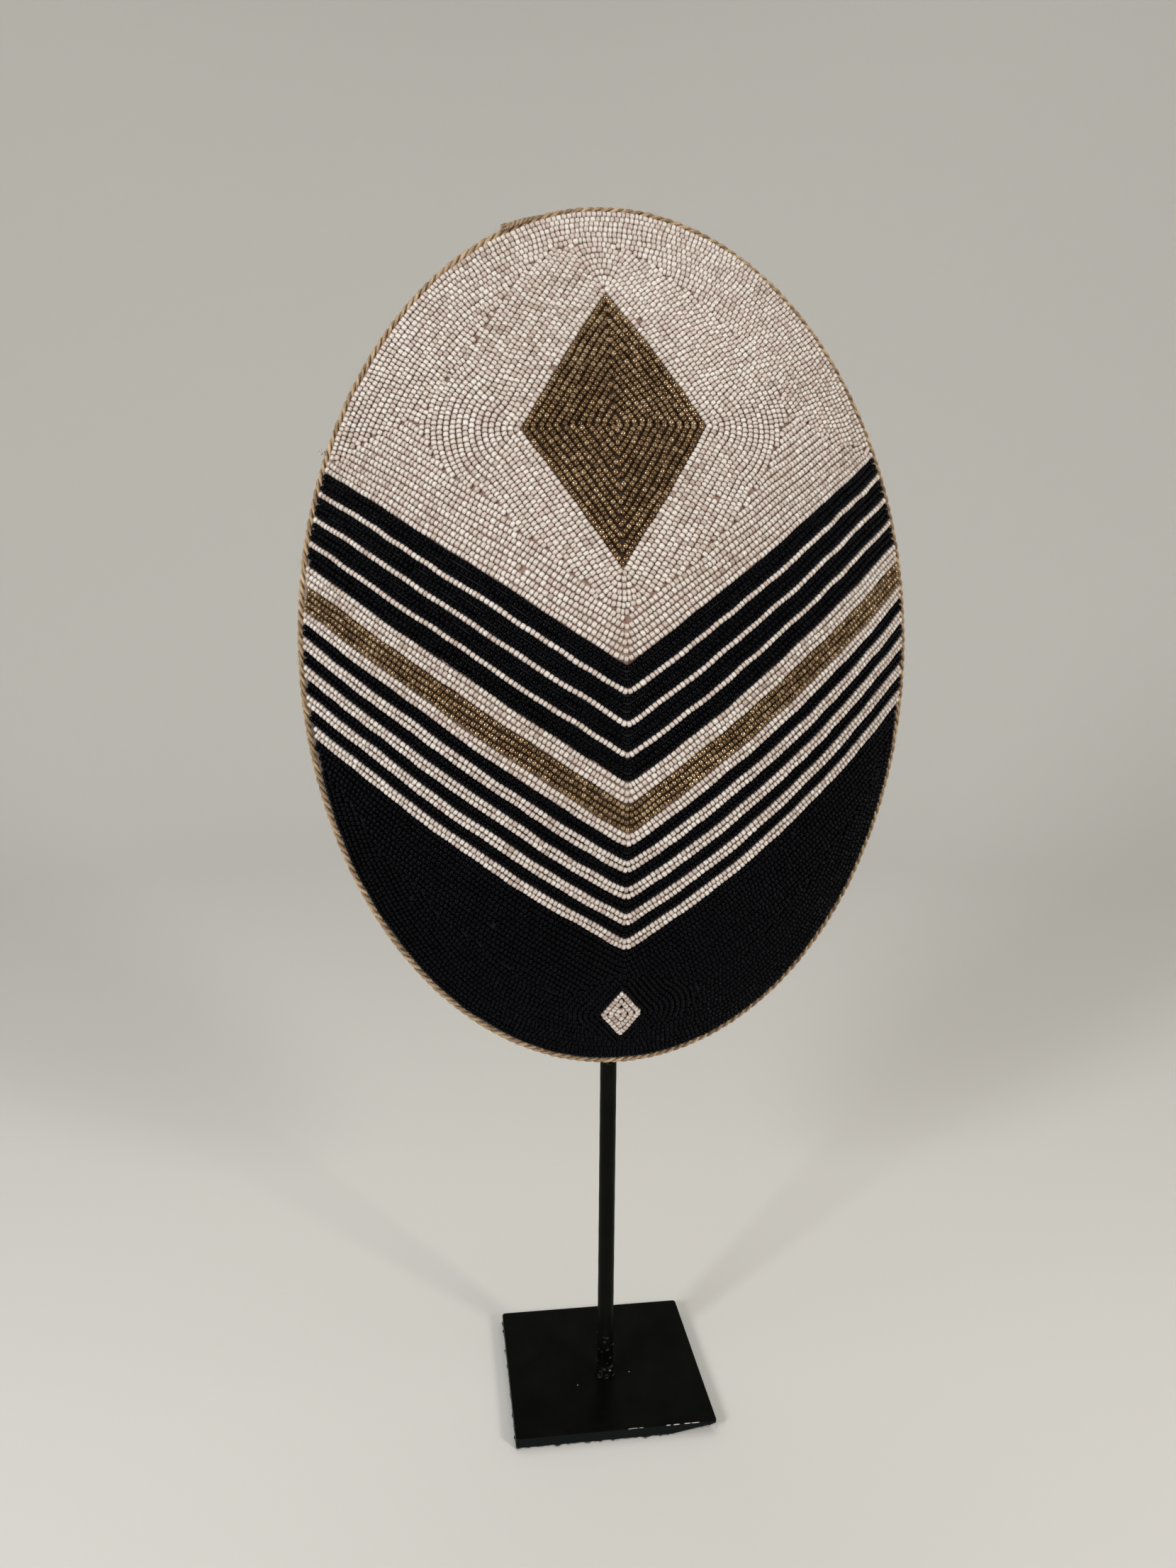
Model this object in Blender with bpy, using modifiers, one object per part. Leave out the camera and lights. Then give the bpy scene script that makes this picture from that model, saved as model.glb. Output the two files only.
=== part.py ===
"""Beaded shield on a black steel stand.

A domed wooden shield is covered in front with rows of glass beads. A twisted cord is glued round its edge.
Behind it two wooden battens cross the hollow, and a steel rod is held to them by two saddles.
The rod stands on a square steel plate with felt under it.

Sizes are in metres. +Z is up and the beads face -Y. The origin is on the underside of the felt,
under the rod's axis. The shield's own pieces are made round the middle of the shield, with X to
the right and Z up, and an empty sets them in place with the shield's slight lean.
"""

import math

import bmesh
import bpy
from mathutils import Matrix, Vector

# Clearance between pieces that touch
FIT_GAP = 0.0003

# Stand
FELT_THICKNESS = 0.001
FELT_INSET = 0.001
PLATE_SIDE = 0.120
PLATE_THICKNESS = 0.006
PLATE_SET_BACK = 0.010  # the plate's middle lies this far behind the rod
PLATE_CORNER_RADIUS = 0.002
PLATE_EDGE_ROUND = 0.0006
CROOKED_CUT_WIDTH = 0.026  # the front right corner is cut away underneath, this far along the front
CROOKED_CUT_DEPTH = 0.035  # and this far along the side
CROOKED_CUT_HEIGHT = 0.0045  # and this high at the corner itself
ROD_DIAMETER = 0.010
ROD_END_CHAMFER = 0.0008
ROD_ABOVE_BATTEN = 0.016
WELD_WIDTH = 0.0016
WELD_HEIGHT = 0.008
WELD_LUMP = 0.0005
WELD_TAPER = 0.45  # its width at the top, as a share of its width at the plate

# Shield
SHIELD_WIDTH = 0.342
SHIELD_HEIGHT = 0.474
SHIELD_CENTRE_HEIGHT = 0.456
SHIELD_OFFSET = -0.002  # the shield's middle lies a little left of the rod
SHIELD_LEAN = math.radians(2.1)  # its top leans to the left
DOME_RISE = 0.063
SHELL_WALL = 0.006
CORD_DIAMETER = 0.005
ROD_TO_SHIELD = 0.001

# Beadwork, in rows of beads laid on the dome
BEAD_DIAMETER = 0.0032
ROW_PITCH = 0.0033
CHEVRON_ANGLE = math.radians(35)
CHEVRON_APEX = (-0.003, 0.002)  # where the top chevron turns, right and up from the dome's middle
CHEVRON_ROWS = (
    ("bold_chevrons", "black_beads", 15),
    ("ivory_chevron", "ivory_beads", 3),
    ("bronze_chevron", "bronze_beads", 4),
    ("lower_ivory_chevron", "ivory_beads", 2),
    ("thin_chevrons", "black_beads", 18),
)
LOZENGE_HALF = (0.048, 0.072)
SMALL_LOZENGE_HALF = (0.0125, 0.019)

# Battens and fixings in the hollow back
BATTEN_SPACING = 0.170
BATTEN_HEIGHT = 0.022
BATTEN_DEPTH = 0.012
SADDLE_THICKNESS = 0.0015
SADDLE_HEIGHT = 0.014
SADDLE_FLANGE = 0.013
SCREW_HEAD_DIAMETER = 0.0065
SCREW_HEAD_HEIGHT = 0.0022
SCREW_SHANK_DIAMETER = 0.0032
SCREW_LENGTH = 0.010
SCREW_CLEARANCE = 0.0003

# Cord ends and the stray bead, placed by their angle round the edge, anticlockwise from the right
CORD_END_DIAMETER = 0.0042
CORD_END_TAPER = 0.35  # its thickness where it leaves the cord, as a share of its full thickness
CORD_END_START = math.radians(99.5)
CORD_END_STOP = math.radians(106.4)
CORD_END_TURN = math.radians(50)  # it lies this far round the cord, from its outside towards the front
STRAY_BEAD_ANGLE = math.radians(151.1)
STRAY_BEAD_DIAMETER = 0.0030
STRAY_BEAD_OUT = 0.0037  # from the cord's centreline, outwards
STRAY_BEAD_FORWARD = 0.0024  # and forwards

# Fineness of the faceted surfaces
DOME_SEGMENTS = 48
DOME_RINGS = 8
CORD_SEGMENTS = 96
CORD_BEVEL_RESOLUTION = 2
ROUND_SIDES = 24
SMALL_ROUND_SIDES = 12
SMOOTH_ANGLE = math.radians(40)
MERGE_DISTANCE = 0.00001
NEWTON_STEPS = 8

# How far the cutters reach past what they cut
CUT_MARGIN = 0.02

# Places that follow from the sizes
ROD_RADIUS = ROD_DIAMETER / 2
CORD_RADIUS = CORD_DIAMETER / 2
PLATE_BOTTOM = FELT_THICKNESS + FIT_GAP
PLATE_TOP = PLATE_BOTTOM + PLATE_THICKNESS
RIM_BACK = -(ROD_RADIUS + ROD_TO_SHIELD)
RIM_FRONT = RIM_BACK - CORD_DIAMETER
SHELL_HALF_WIDTH = SHIELD_WIDTH / 2 - CORD_DIAMETER - FIT_GAP
SHELL_HALF_HEIGHT = SHIELD_HEIGHT / 2 - CORD_DIAMETER - FIT_GAP
BATTEN_BACK = -(ROD_RADIUS + FIT_GAP)
BATTEN_OFFSET = BATTEN_SPACING / 2
SADDLE_INNER_RADIUS = ROD_RADIUS + FIT_GAP
SADDLE_OUTER_RADIUS = SADDLE_INNER_RADIUS + SADDLE_THICKNESS
SADDLE_FOOT = BATTEN_BACK + FIT_GAP
SCREW_OFFSET = SADDLE_OUTER_RADIUS + SADDLE_FLANGE / 2

COLOURS = {
    "black_paint": ((0.012, 0.012, 0.012), 0.38, 0.0),
    "weld_paint": ((0.010, 0.010, 0.010), 0.18, 0.0),
    "felt": ((0.015, 0.015, 0.016), 0.95, 0.0),
    "wood": ((0.30, 0.17, 0.085), 0.72, 0.0),
    "steel": ((0.42, 0.41, 0.39), 0.35, 1.0),
    "cord": ((0.45, 0.31, 0.17), 0.85, 0.0),
    "ivory_beads": ((0.74, 0.66, 0.56), 0.22, 0.0),
    "black_beads": ((0.010, 0.010, 0.013), 0.15, 0.0),
    "bronze_beads": ((0.16, 0.075, 0.020), 0.20, 0.6),
    "clear_bead": ((0.80, 0.78, 0.72), 0.10, 0.0),
}


def clear_scene():
    for item in list(bpy.data.objects):
        bpy.data.objects.remove(item, do_unlink=True)


def new_collection(name):
    collection = bpy.data.collections.new(name)
    bpy.context.scene.collection.children.link(collection)
    return collection


def make_material(name):
    colour, roughness, metallic = COLOURS[name]
    material = bpy.data.materials.new(name)
    material.use_nodes = True
    shader = material.node_tree.nodes["Principled BSDF"]
    shader.inputs["Base Color"].default_value = (*colour, 1.0)
    shader.inputs["Roughness"].default_value = roughness
    shader.inputs["Metallic"].default_value = metallic
    material.diffuse_color = (*colour, 1.0)
    return material


def add_object(name, mesh, collection, material=None, parent=None):
    item = bpy.data.objects.new(name, mesh)
    collection.objects.link(item)
    item.parent = parent
    if material is not None:
        mesh.materials.append(material)
    return item


def mesh_from(bm, name, smooth=True):
    """Turns the working mesh into a mesh datablock, with its normals outwards."""
    bmesh.ops.recalc_face_normals(bm, faces=bm.faces)
    mesh = bpy.data.meshes.new(name)
    bm.to_mesh(mesh)
    bm.free()
    if smooth:
        mesh.shade_smooth()
        mesh.set_sharp_from_angle(angle=SMOOTH_ANGLE)
    return mesh


def add_bevel(item, width, segments=1, angle=math.radians(30)):
    bevel = item.modifiers.new("edges", "BEVEL")
    bevel.width = width
    bevel.segments = segments
    bevel.limit_method = "ANGLE"
    bevel.angle_limit = angle


def add_cut(item, cutter, operation="DIFFERENCE"):
    cut = item.modifiers.new(cutter.name, "BOOLEAN")
    cut.operation = operation
    cut.solver = "EXACT"
    cut.object = cutter


def add_cutter(name, mesh, parent=None):
    cutter = add_object(name, mesh, cutters, parent=parent)
    cutter.display_type = "WIRE"
    cutter.hide_render = True
    return cutter


def box_mesh(name, size, centre):
    bm = bmesh.new()
    placed = Matrix.Translation(centre) @ Matrix.Diagonal((*size, 1.0))
    bmesh.ops.create_cube(bm, size=1.0, matrix=placed)
    return mesh_from(bm, name, smooth=False)


def round_bar_mesh(name, radius, start, end, sides):
    """A round bar with flat ends between two points."""
    start, end = Vector(start), Vector(end)
    turn = (end - start).to_track_quat("Z", "Y").to_matrix().to_4x4()
    bm = bmesh.new()
    bmesh.ops.create_cone(
        bm,
        cap_ends=True,
        segments=sides,
        radius1=radius,
        radius2=radius,
        depth=(end - start).length,
        matrix=Matrix.Translation((start + end) / 2) @ turn,
    )
    return mesh_from(bm, name)


def curve_to_mesh(curve, name, placed=None):
    """Makes a curve a closed mesh, with its caps welded on, and removes the curve."""
    item = bpy.data.objects.new(name + "_curve", curve)
    bpy.context.scene.collection.objects.link(item)
    bpy.context.view_layer.update()
    evaluated = item.evaluated_get(bpy.context.evaluated_depsgraph_get())
    mesh = bpy.data.meshes.new_from_object(evaluated)
    bpy.data.objects.remove(item)
    bm = bmesh.new()
    bm.from_mesh(mesh)
    bpy.data.meshes.remove(mesh)
    bmesh.ops.remove_doubles(bm, verts=bm.verts, dist=MERGE_DISTANCE)
    if placed is not None:
        bmesh.ops.transform(bm, matrix=placed, verts=bm.verts)
    return mesh_from(bm, name)


def extruded_outline(name, points, thickness, placed=None):
    """A flat outline, filled and extruded by half its thickness to each side of its own plane."""
    curve = bpy.data.curves.new(name, "CURVE")
    curve.dimensions = "2D"
    curve.fill_mode = "BOTH"
    curve.extrude = thickness / 2
    spline = curve.splines.new("POLY")
    spline.points.add(len(points) - 1)
    for point, (x, y) in zip(spline.points, points):
        point.co = (x, y, 0.0, 1.0)
    spline.use_cyclic_u = True
    return curve_to_mesh(curve, name, placed)


def tube(name, points, diameter, closed, radii=None):
    """A round tube along a run of points."""
    curve = bpy.data.curves.new(name, "CURVE")
    curve.dimensions = "3D"
    curve.bevel_depth = diameter / 2
    curve.bevel_resolution = CORD_BEVEL_RESOLUTION
    curve.use_fill_caps = not closed
    spline = curve.splines.new("POLY")
    spline.points.add(len(points) - 1)
    for index, (point, place) in enumerate(zip(spline.points, points)):
        point.co = (*place, 1.0)
        point.radius = 1.0 if radii is None else radii[index]
    spline.use_cyclic_u = closed
    return curve_to_mesh(curve, name)


def turned_piece(name, profile, sides, collection, material):
    """A profile, given as radius and height from top to bottom, turned about the Z axis."""
    mesh = bpy.data.meshes.new(name)
    edges = [(index, index + 1) for index in range(len(profile) - 1)]
    mesh.from_pydata([(radius, 0.0, height) for radius, height in profile], edges, [])
    item = add_object(name, mesh, collection, material)
    screw = item.modifiers.new("turn", "SCREW")
    screw.steps = sides
    screw.render_steps = sides
    screw.use_merge_vertices = True
    screw.merge_threshold = MERGE_DISTANCE
    screw.use_smooth_shade = True
    return item


# The dome


def dome_depth(share):
    """How far back the wood's front surface lies, at a share of the way from the middle to the edge."""
    return RIM_FRONT - DOME_RISE * (1.0 - share * share)


def arc_length(reach, share):
    """Length over the dome from its middle, along a direction whose flat reach to the edge is given.

    The dome's section is a parabola, so its length is the closed formula for a parabola's arc.
    """
    steepness = 2.0 * DOME_RISE / reach
    slope = steepness * share
    return reach * (share / 2 * math.sqrt(1 + slope * slope) + math.asinh(slope) / (2 * steepness))


def laid_on_dome(point):
    """Where a point of the beadwork, measured over the dome's surface, lies seen from the front."""
    right, up = point
    distance = math.hypot(right, up)
    if distance == 0.0:
        return 0.0, 0.0
    ray = Vector((right / distance, up / distance))
    reach = 1.0 / math.hypot(ray.x / SHELL_HALF_WIDTH, ray.y / SHELL_HALF_HEIGHT)
    share = distance / reach
    for _ in range(NEWTON_STEPS):
        slope = 2.0 * DOME_RISE / reach * share
        share -= (arc_length(reach, share) - distance) / (reach * math.sqrt(1 + slope * slope))
    return ray.x * reach * share, ray.y * reach * share


def dome_surface():
    """The front of the wood as an open surface, made from the upper half of a sphere.

    A sphere's angle from its pole becomes the share of the way to the edge.
    """
    bm = bmesh.new()
    bmesh.ops.create_uvsphere(bm, u_segments=DOME_SEGMENTS, v_segments=2 * DOME_RINGS, radius=1.0)
    lower = [vertex for vertex in bm.verts if vertex.co.z < -MERGE_DISTANCE]
    bmesh.ops.delete(bm, geom=lower, context="VERTS")
    for vertex in bm.verts:
        x, y, z = vertex.co
        share = math.acos(min(1.0, z)) / (math.pi / 2)
        angle = math.atan2(y, x)
        vertex.co = (
            SHELL_HALF_WIDTH * share * math.cos(angle),
            dome_depth(share),
            SHELL_HALF_HEIGHT * share * math.sin(angle),
        )
    bmesh.ops.recalc_face_normals(bm, faces=bm.faces)
    top = max(bm.faces, key=lambda face: -face.calc_center_median().y)
    if top.normal.y > 0:
        bmesh.ops.reverse_faces(bm, faces=bm.faces)
    bm.normal_update()
    return bm


def to_mesh_as_is(bm, name):
    mesh = bpy.data.meshes.new(name)
    bm.to_mesh(mesh)
    bm.free()
    mesh.shade_smooth()
    return mesh


def shell_surface():
    """The dome with the straight collar that the cord is glued round."""
    bm = dome_surface()
    rim = [edge for edge in bm.edges if edge.is_boundary]
    made = bmesh.ops.extrude_edge_only(bm, edges=rim)["geom"]
    for item in made:
        if isinstance(item, bmesh.types.BMVert):
            item.co.y = RIM_BACK
    bm.normal_update()
    return bm


def add_wall(item, thickness, offset):
    wall = item.modifiers.new("wall", "SOLIDIFY")
    wall.thickness = thickness
    wall.offset = offset
    wall.use_even_offset = True
    wall.use_rim = True
    return wall


def make_shell():
    item = add_object("shield_shell", to_mesh_as_is(shell_surface(), "shield_shell"), parts, wood, shield)
    add_wall(item, SHELL_WALL, -1.0)


# Beadwork


def chevron_point(rows, gap=0.0):
    """Where the chevron that many rows below the top one turns, measured over the dome."""
    apex_x, apex_y = CHEVRON_APEX
    return apex_x, apex_y - (rows * ROW_PITCH + gap) / math.cos(CHEVRON_ANGLE)


def chevron_line(rows, gap=0.0):
    """The line that many rows below the top chevron, over the dome, from left to right past the edge."""
    turn_x, turn_y = chevron_point(rows, gap)
    reach = SHIELD_WIDTH / 2 + CUT_MARGIN
    steps = 8
    run = [reach * step / steps for step in range(-steps, steps + 1)]
    line = [(turn_x + x, turn_y + abs(x) * math.tan(CHEVRON_ANGLE)) for x in run]
    return [laid_on_dome(point) for point in line]


def midway_to_edge(rows, side):
    """The point halfway from a chevron's turn to the edge above it (side 1) or below it (side -1)."""
    turn_x, turn_y = chevron_point(rows)
    edge = side * arc_length(SHELL_HALF_HEIGHT, 1.0)
    return turn_x, (turn_y + edge) / 2


def lozenge_outline(centre, half, grow=0.0):
    """A lozenge over the dome, its sides in short steps so that they follow the dome."""
    stretch = 1.0 + grow * math.hypot(*half) / (half[0] * half[1])
    tips = [(1, 0), (0, 1), (-1, 0), (0, -1)]
    steps = 4
    outline = []
    for (x0, y0), (x1, y1) in zip(tips, tips[1:] + tips[:1]):
        for step in range(steps):
            part = step / steps
            x = centre[0] + half[0] * stretch * (x0 + (x1 - x0) * part)
            y = centre[1] + half[1] * stretch * (y0 + (y1 - y0) * part)
            outline.append(laid_on_dome((x, y)))
    return outline


def front_prism(name, outline):
    """A cutter with an outline seen from the front, running through the whole shield."""
    depth = 2 * (DOME_RISE + SHELL_WALL + CUT_MARGIN)
    upright = Matrix.Rotation(math.pi / 2, 4, "X")
    placed = Matrix.Translation((0.0, RIM_FRONT, 0.0)) @ upright
    return add_cutter(name, extruded_outline(name, outline, depth, placed), shield)


def bead_layer(name, material):
    """A layer one bead thick over the whole dome, before it is cut to its field."""
    bm = dome_surface()
    normals = {vertex: vertex.normal.copy() for vertex in bm.verts}
    for vertex, normal in normals.items():
        vertex.co += normal * FIT_GAP
    item = add_object(name, to_mesh_as_is(bm, name), parts, materials[material], shield)
    add_wall(item, BEAD_DIAMETER, 1.0)
    return item


def make_lozenge(name, material, centre, half, field):
    """A lozenge of beads, and the hole for it in the field round it."""
    lozenge = bead_layer(name, material)
    add_cut(lozenge, front_prism(name + "_outline", lozenge_outline(centre, half)), "INTERSECT")
    add_cut(field, front_prism(name + "_hole", lozenge_outline(centre, half, FIT_GAP)))


def make_beadwork():
    """The field above the chevrons, the chevrons from top to bottom, the field below them, and the lozenges."""
    top = SHIELD_HEIGHT / 2 + CUT_MARGIN
    first = chevron_line(0)
    upper_field = first + [(first[-1][0], top), (first[0][0], top)]
    ivory_field = bead_layer("ivory_field", "ivory_beads")
    add_cut(ivory_field, front_prism("ivory_field_outline", upper_field), "INTERSECT")
    rows = 0
    for name, material, count in CHEVRON_ROWS:
        upper = chevron_line(rows, FIT_GAP)
        lower = chevron_line(rows + count)
        band = bead_layer(name, material)
        add_cut(band, front_prism(name + "_outline", upper + lower[::-1]), "INTERSECT")
        rows += count
    last = chevron_line(rows, FIT_GAP)
    lower_field = last + [(last[-1][0], -top), (last[0][0], -top)]
    black_point = bead_layer("black_point", "black_beads")
    add_cut(black_point, front_prism("black_point_outline", lower_field), "INTERSECT")
    above, below = midway_to_edge(0, 1), midway_to_edge(rows, -1)
    make_lozenge("bronze_lozenge", "bronze_beads", above, LOZENGE_HALF, ivory_field)
    make_lozenge("ivory_lozenge", "ivory_beads", below, SMALL_LOZENGE_HALF, black_point)


# Edge


def edge_point(angle, outwards=0.0, forwards=0.0):
    """A point on the cord's centreline at an angle round the shield, moved outwards and forwards."""
    half_width = SHIELD_WIDTH / 2 - CORD_RADIUS
    half_height = SHIELD_HEIGHT / 2 - CORD_RADIUS
    point = Vector((half_width * math.cos(angle), 0.0, half_height * math.sin(angle)))
    normal = Vector((math.cos(angle) / half_width, 0.0, math.sin(angle) / half_height)).normalized()
    return point + normal * outwards + Vector((0.0, RIM_BACK - CORD_RADIUS - forwards, 0.0))


def make_rim_cord():
    angles = [2 * math.pi * index / CORD_SEGMENTS for index in range(CORD_SEGMENTS)]
    mesh = tube("rim_cord", [edge_point(angle) for angle in angles], CORD_DIAMETER, closed=True)
    add_object("rim_cord", mesh, parts, materials["cord"], shield)


def make_cord_end():
    """The cord's second end, which lies over the first and stops in a small tuft."""
    steps = 6
    clear = CORD_RADIUS + FIT_GAP + CORD_END_DIAMETER / 2
    span = CORD_END_STOP - CORD_END_START
    angles = [CORD_END_START + span * step / steps for step in range(steps + 1)]
    swell = [math.sin(math.pi / 2 * step / steps) for step in range(steps + 1)]
    radii = [CORD_END_TAPER + (1.0 - CORD_END_TAPER) * share for share in swell]
    outwards, forwards = clear * math.cos(CORD_END_TURN), clear * math.sin(CORD_END_TURN)
    points = [edge_point(angle, outwards, forwards) for angle in angles]
    mesh = tube("cord_end", points, CORD_END_DIAMETER, closed=False, radii=radii)
    add_object("cord_end", mesh, parts, materials["cord"], shield)


def make_stray_bead():
    """A single clear bead stuck to the cord."""
    bm = bmesh.new()
    place = edge_point(STRAY_BEAD_ANGLE, STRAY_BEAD_OUT, STRAY_BEAD_FORWARD)
    bmesh.ops.create_uvsphere(
        bm,
        u_segments=SMALL_ROUND_SIDES,
        v_segments=6,
        radius=STRAY_BEAD_DIAMETER / 2,
        matrix=Matrix.Translation(place),
    )
    add_object("stray_bead", mesh_from(bm, "stray_bead"), parts, materials["clear_bead"], shield)


# Back


def make_batten(name, height, wall_cutter):
    """A batten across the hollow, its ends cut to the shell's inner wall."""
    far = abs(height) + BATTEN_HEIGHT / 2
    half_length = SHELL_HALF_WIDTH * math.sqrt(1 - (far / SHELL_HALF_HEIGHT) ** 2) - SHELL_WALL / 2
    size = (2 * half_length, BATTEN_DEPTH, BATTEN_HEIGHT)
    centre = (0.0, BATTEN_BACK - BATTEN_DEPTH / 2, height)
    item = add_object(name, box_mesh(name, size, centre), parts, wood, shield)
    add_cut(item, wall_cutter)
    return item


def wall_of_shell():
    """A cutter that fills the shell's wall and its clearance, and reaches out past it."""
    cutter = add_cutter("shell_wall", to_mesh_as_is(shell_surface(), "shell_wall"), shield)
    bm = bmesh.new()
    bm.from_mesh(cutter.data)
    rim = [vertex for vertex in bm.verts if vertex.co.y > RIM_BACK - MERGE_DISTANCE]
    for vertex in rim:
        vertex.co.y = RIM_BACK + CUT_MARGIN
    bm.to_mesh(cutter.data)
    bm.free()
    thickness = SHELL_WALL + FIT_GAP + CUT_MARGIN
    add_wall(cutter, thickness, 2 * CUT_MARGIN / thickness - 1.0)
    return cutter


def saddle_outline():
    """The saddle seen from above: two flat feet and a half round over the rod."""
    foot_end = SADDLE_OUTER_RADIUS + SADDLE_FLANGE
    foot_top = SADDLE_FOOT + SADDLE_THICKNESS
    steps = 12
    turns = [math.pi * step / steps for step in range(steps + 1)]
    outer = [(SADDLE_OUTER_RADIUS * math.cos(a), SADDLE_OUTER_RADIUS * math.sin(a)) for a in turns]
    inner = [(SADDLE_INNER_RADIUS * math.cos(a), SADDLE_INNER_RADIUS * math.sin(a)) for a in turns]
    right = [(foot_end, SADDLE_FOOT), (foot_end, foot_top), (SADDLE_OUTER_RADIUS, foot_top)]
    left = [(-x, y) for x, y in right[::-1]]
    ends = [(-SADDLE_INNER_RADIUS, SADDLE_FOOT)], [(SADDLE_INNER_RADIUS, SADDLE_FOOT)]
    return right + outer + left + ends[0] + inner[::-1] + ends[1]


def screw_profile():
    """A round headed screw from the top of its head to its point."""
    head = SCREW_HEAD_DIAMETER / 2
    shank = SCREW_SHANK_DIAMETER / 2
    steps = 4
    turns = [math.pi / 2 * step / steps for step in range(steps + 1)]
    dome = [(head * math.sin(a), SCREW_HEAD_HEIGHT * math.cos(a)) for a in turns]
    return dome + [(shank, 0.0), (shank, shank - SCREW_LENGTH), (0.0, -SCREW_LENGTH)]


def batten_height_at_rod(height):
    """The world height where a batten crosses the rod."""
    return SHIELD_CENTRE_HEIGHT + height / math.cos(SHIELD_LEAN) - SHIELD_OFFSET * math.tan(SHIELD_LEAN)


def fix_to_rod(side, batten, height):
    """A saddle over the rod, and its two screws, with holes for them in the saddle and the batten."""
    level = batten_height_at_rod(height)
    placed = Matrix.Translation((0.0, 0.0, level))
    name = side + "_saddle"
    mesh = extruded_outline(name, saddle_outline(), SADDLE_HEIGHT, placed)
    saddle = add_object(name, mesh, parts, materials["black_paint"])
    head_seat = SADDLE_FOOT + SADDLE_THICKNESS + FIT_GAP
    for hand, sign in (("left", -1), ("right", 1)):
        screw = turned_piece(
            f"{side}_{hand}_screw", screw_profile(), SMALL_ROUND_SIDES, parts, materials["steel"]
        )
        screw.location = (sign * SCREW_OFFSET, head_seat, level)
        screw.rotation_euler = (-math.pi / 2, 0.0, 0.0)
        hole_radius = SCREW_SHANK_DIAMETER / 2 + SCREW_CLEARANCE
        start = (sign * SCREW_OFFSET, head_seat + SCREW_HEAD_HEIGHT, level)
        end = (sign * SCREW_OFFSET, head_seat - SCREW_LENGTH - FIT_GAP, level)
        hole = round_bar_mesh(f"{side}_{hand}_hole", hole_radius, start, end, SMALL_ROUND_SIDES)
        drill = add_cutter(f"{side}_{hand}_hole", hole)
        add_cut(saddle, drill)
        add_cut(batten, drill)


def make_back():
    wall_cutter = wall_of_shell()
    for side, height in (("lower", -BATTEN_OFFSET), ("upper", BATTEN_OFFSET)):
        batten = make_batten(side + "_batten", height, wall_cutter)
        fix_to_rod(side, batten, height)


# Stand


def make_felt():
    """The felt under the plate, with the corner gone where the plate is cut away."""
    half = PLATE_SIDE / 2 - FELT_INSET
    outline = [
        (half, half),
        (-half, half),
        (-half, -half),
        (half - CROOKED_CUT_WIDTH, -half),
        (half, CROOKED_CUT_DEPTH - half),
    ]
    placed = Matrix.Translation((0.0, PLATE_SET_BACK, FELT_THICKNESS / 2))
    mesh = extruded_outline("felt_pad", outline, FELT_THICKNESS, placed)
    add_object("felt_pad", mesh, parts, materials["felt"])


def crooked_corner():
    """A cutter whose face rises from under the plate to its front right corner."""
    half = PLATE_SIDE / 2
    along_front = Vector((half - CROOKED_CUT_WIDTH, -half, 0.0))
    along_side = Vector((half, CROOKED_CUT_DEPTH - half, 0.0))
    at_corner = Vector((half, -half, CROOKED_CUT_HEIGHT))
    normal = (along_side - along_front).cross(at_corner - along_front).normalized()
    if normal.z > 0:
        normal = -normal
    turn = normal.to_track_quat("-Z", "Y").to_matrix().to_4x4()
    middle = (along_front + along_side + at_corner) / 3
    size = 2 * max(CROOKED_CUT_WIDTH, CROOKED_CUT_DEPTH)
    reach = Matrix.Diagonal((size, size, size, 1.0))
    seat = Matrix.Translation((0.0, PLATE_SET_BACK, PLATE_BOTTOM)) @ Matrix.Translation(middle)
    bm = bmesh.new()
    bmesh.ops.create_cube(bm, size=1.0, matrix=seat @ turn @ Matrix.Translation((0, 0, -size / 2)) @ reach)
    return add_cutter("crooked_corner", mesh_from(bm, "crooked_corner", smooth=False))


def make_plate():
    centre = (0.0, PLATE_SET_BACK, PLATE_BOTTOM + PLATE_THICKNESS / 2)
    mesh = box_mesh("base_plate", (PLATE_SIDE, PLATE_SIDE, PLATE_THICKNESS), centre)
    bm = bmesh.new()
    bm.from_mesh(mesh)
    upright = [edge for edge in bm.edges if abs(edge.verts[0].co.z - edge.verts[1].co.z) > MERGE_DISTANCE]
    bmesh.ops.bevel(
        bm, geom=upright, offset=PLATE_CORNER_RADIUS, segments=3, profile=0.5, affect="EDGES"
    )
    bm.to_mesh(mesh)
    bm.free()
    item = add_object("base_plate", mesh, parts, materials["black_paint"])
    add_bevel(item, PLATE_EDGE_ROUND, segments=2, angle=math.radians(50))
    add_cut(item, crooked_corner())


def rod_top():
    return batten_height_at_rod(BATTEN_OFFSET) + BATTEN_HEIGHT / 2 + ROD_ABOVE_BATTEN


def make_rod():
    start = (0.0, 0.0, PLATE_TOP + FIT_GAP)
    end = (0.0, 0.0, rod_top())
    item = add_object("rod", round_bar_mesh("rod", ROD_RADIUS, start, end, ROUND_SIDES), parts, black)
    add_bevel(item, ROD_END_CHAMFER, angle=math.radians(60))


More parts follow.
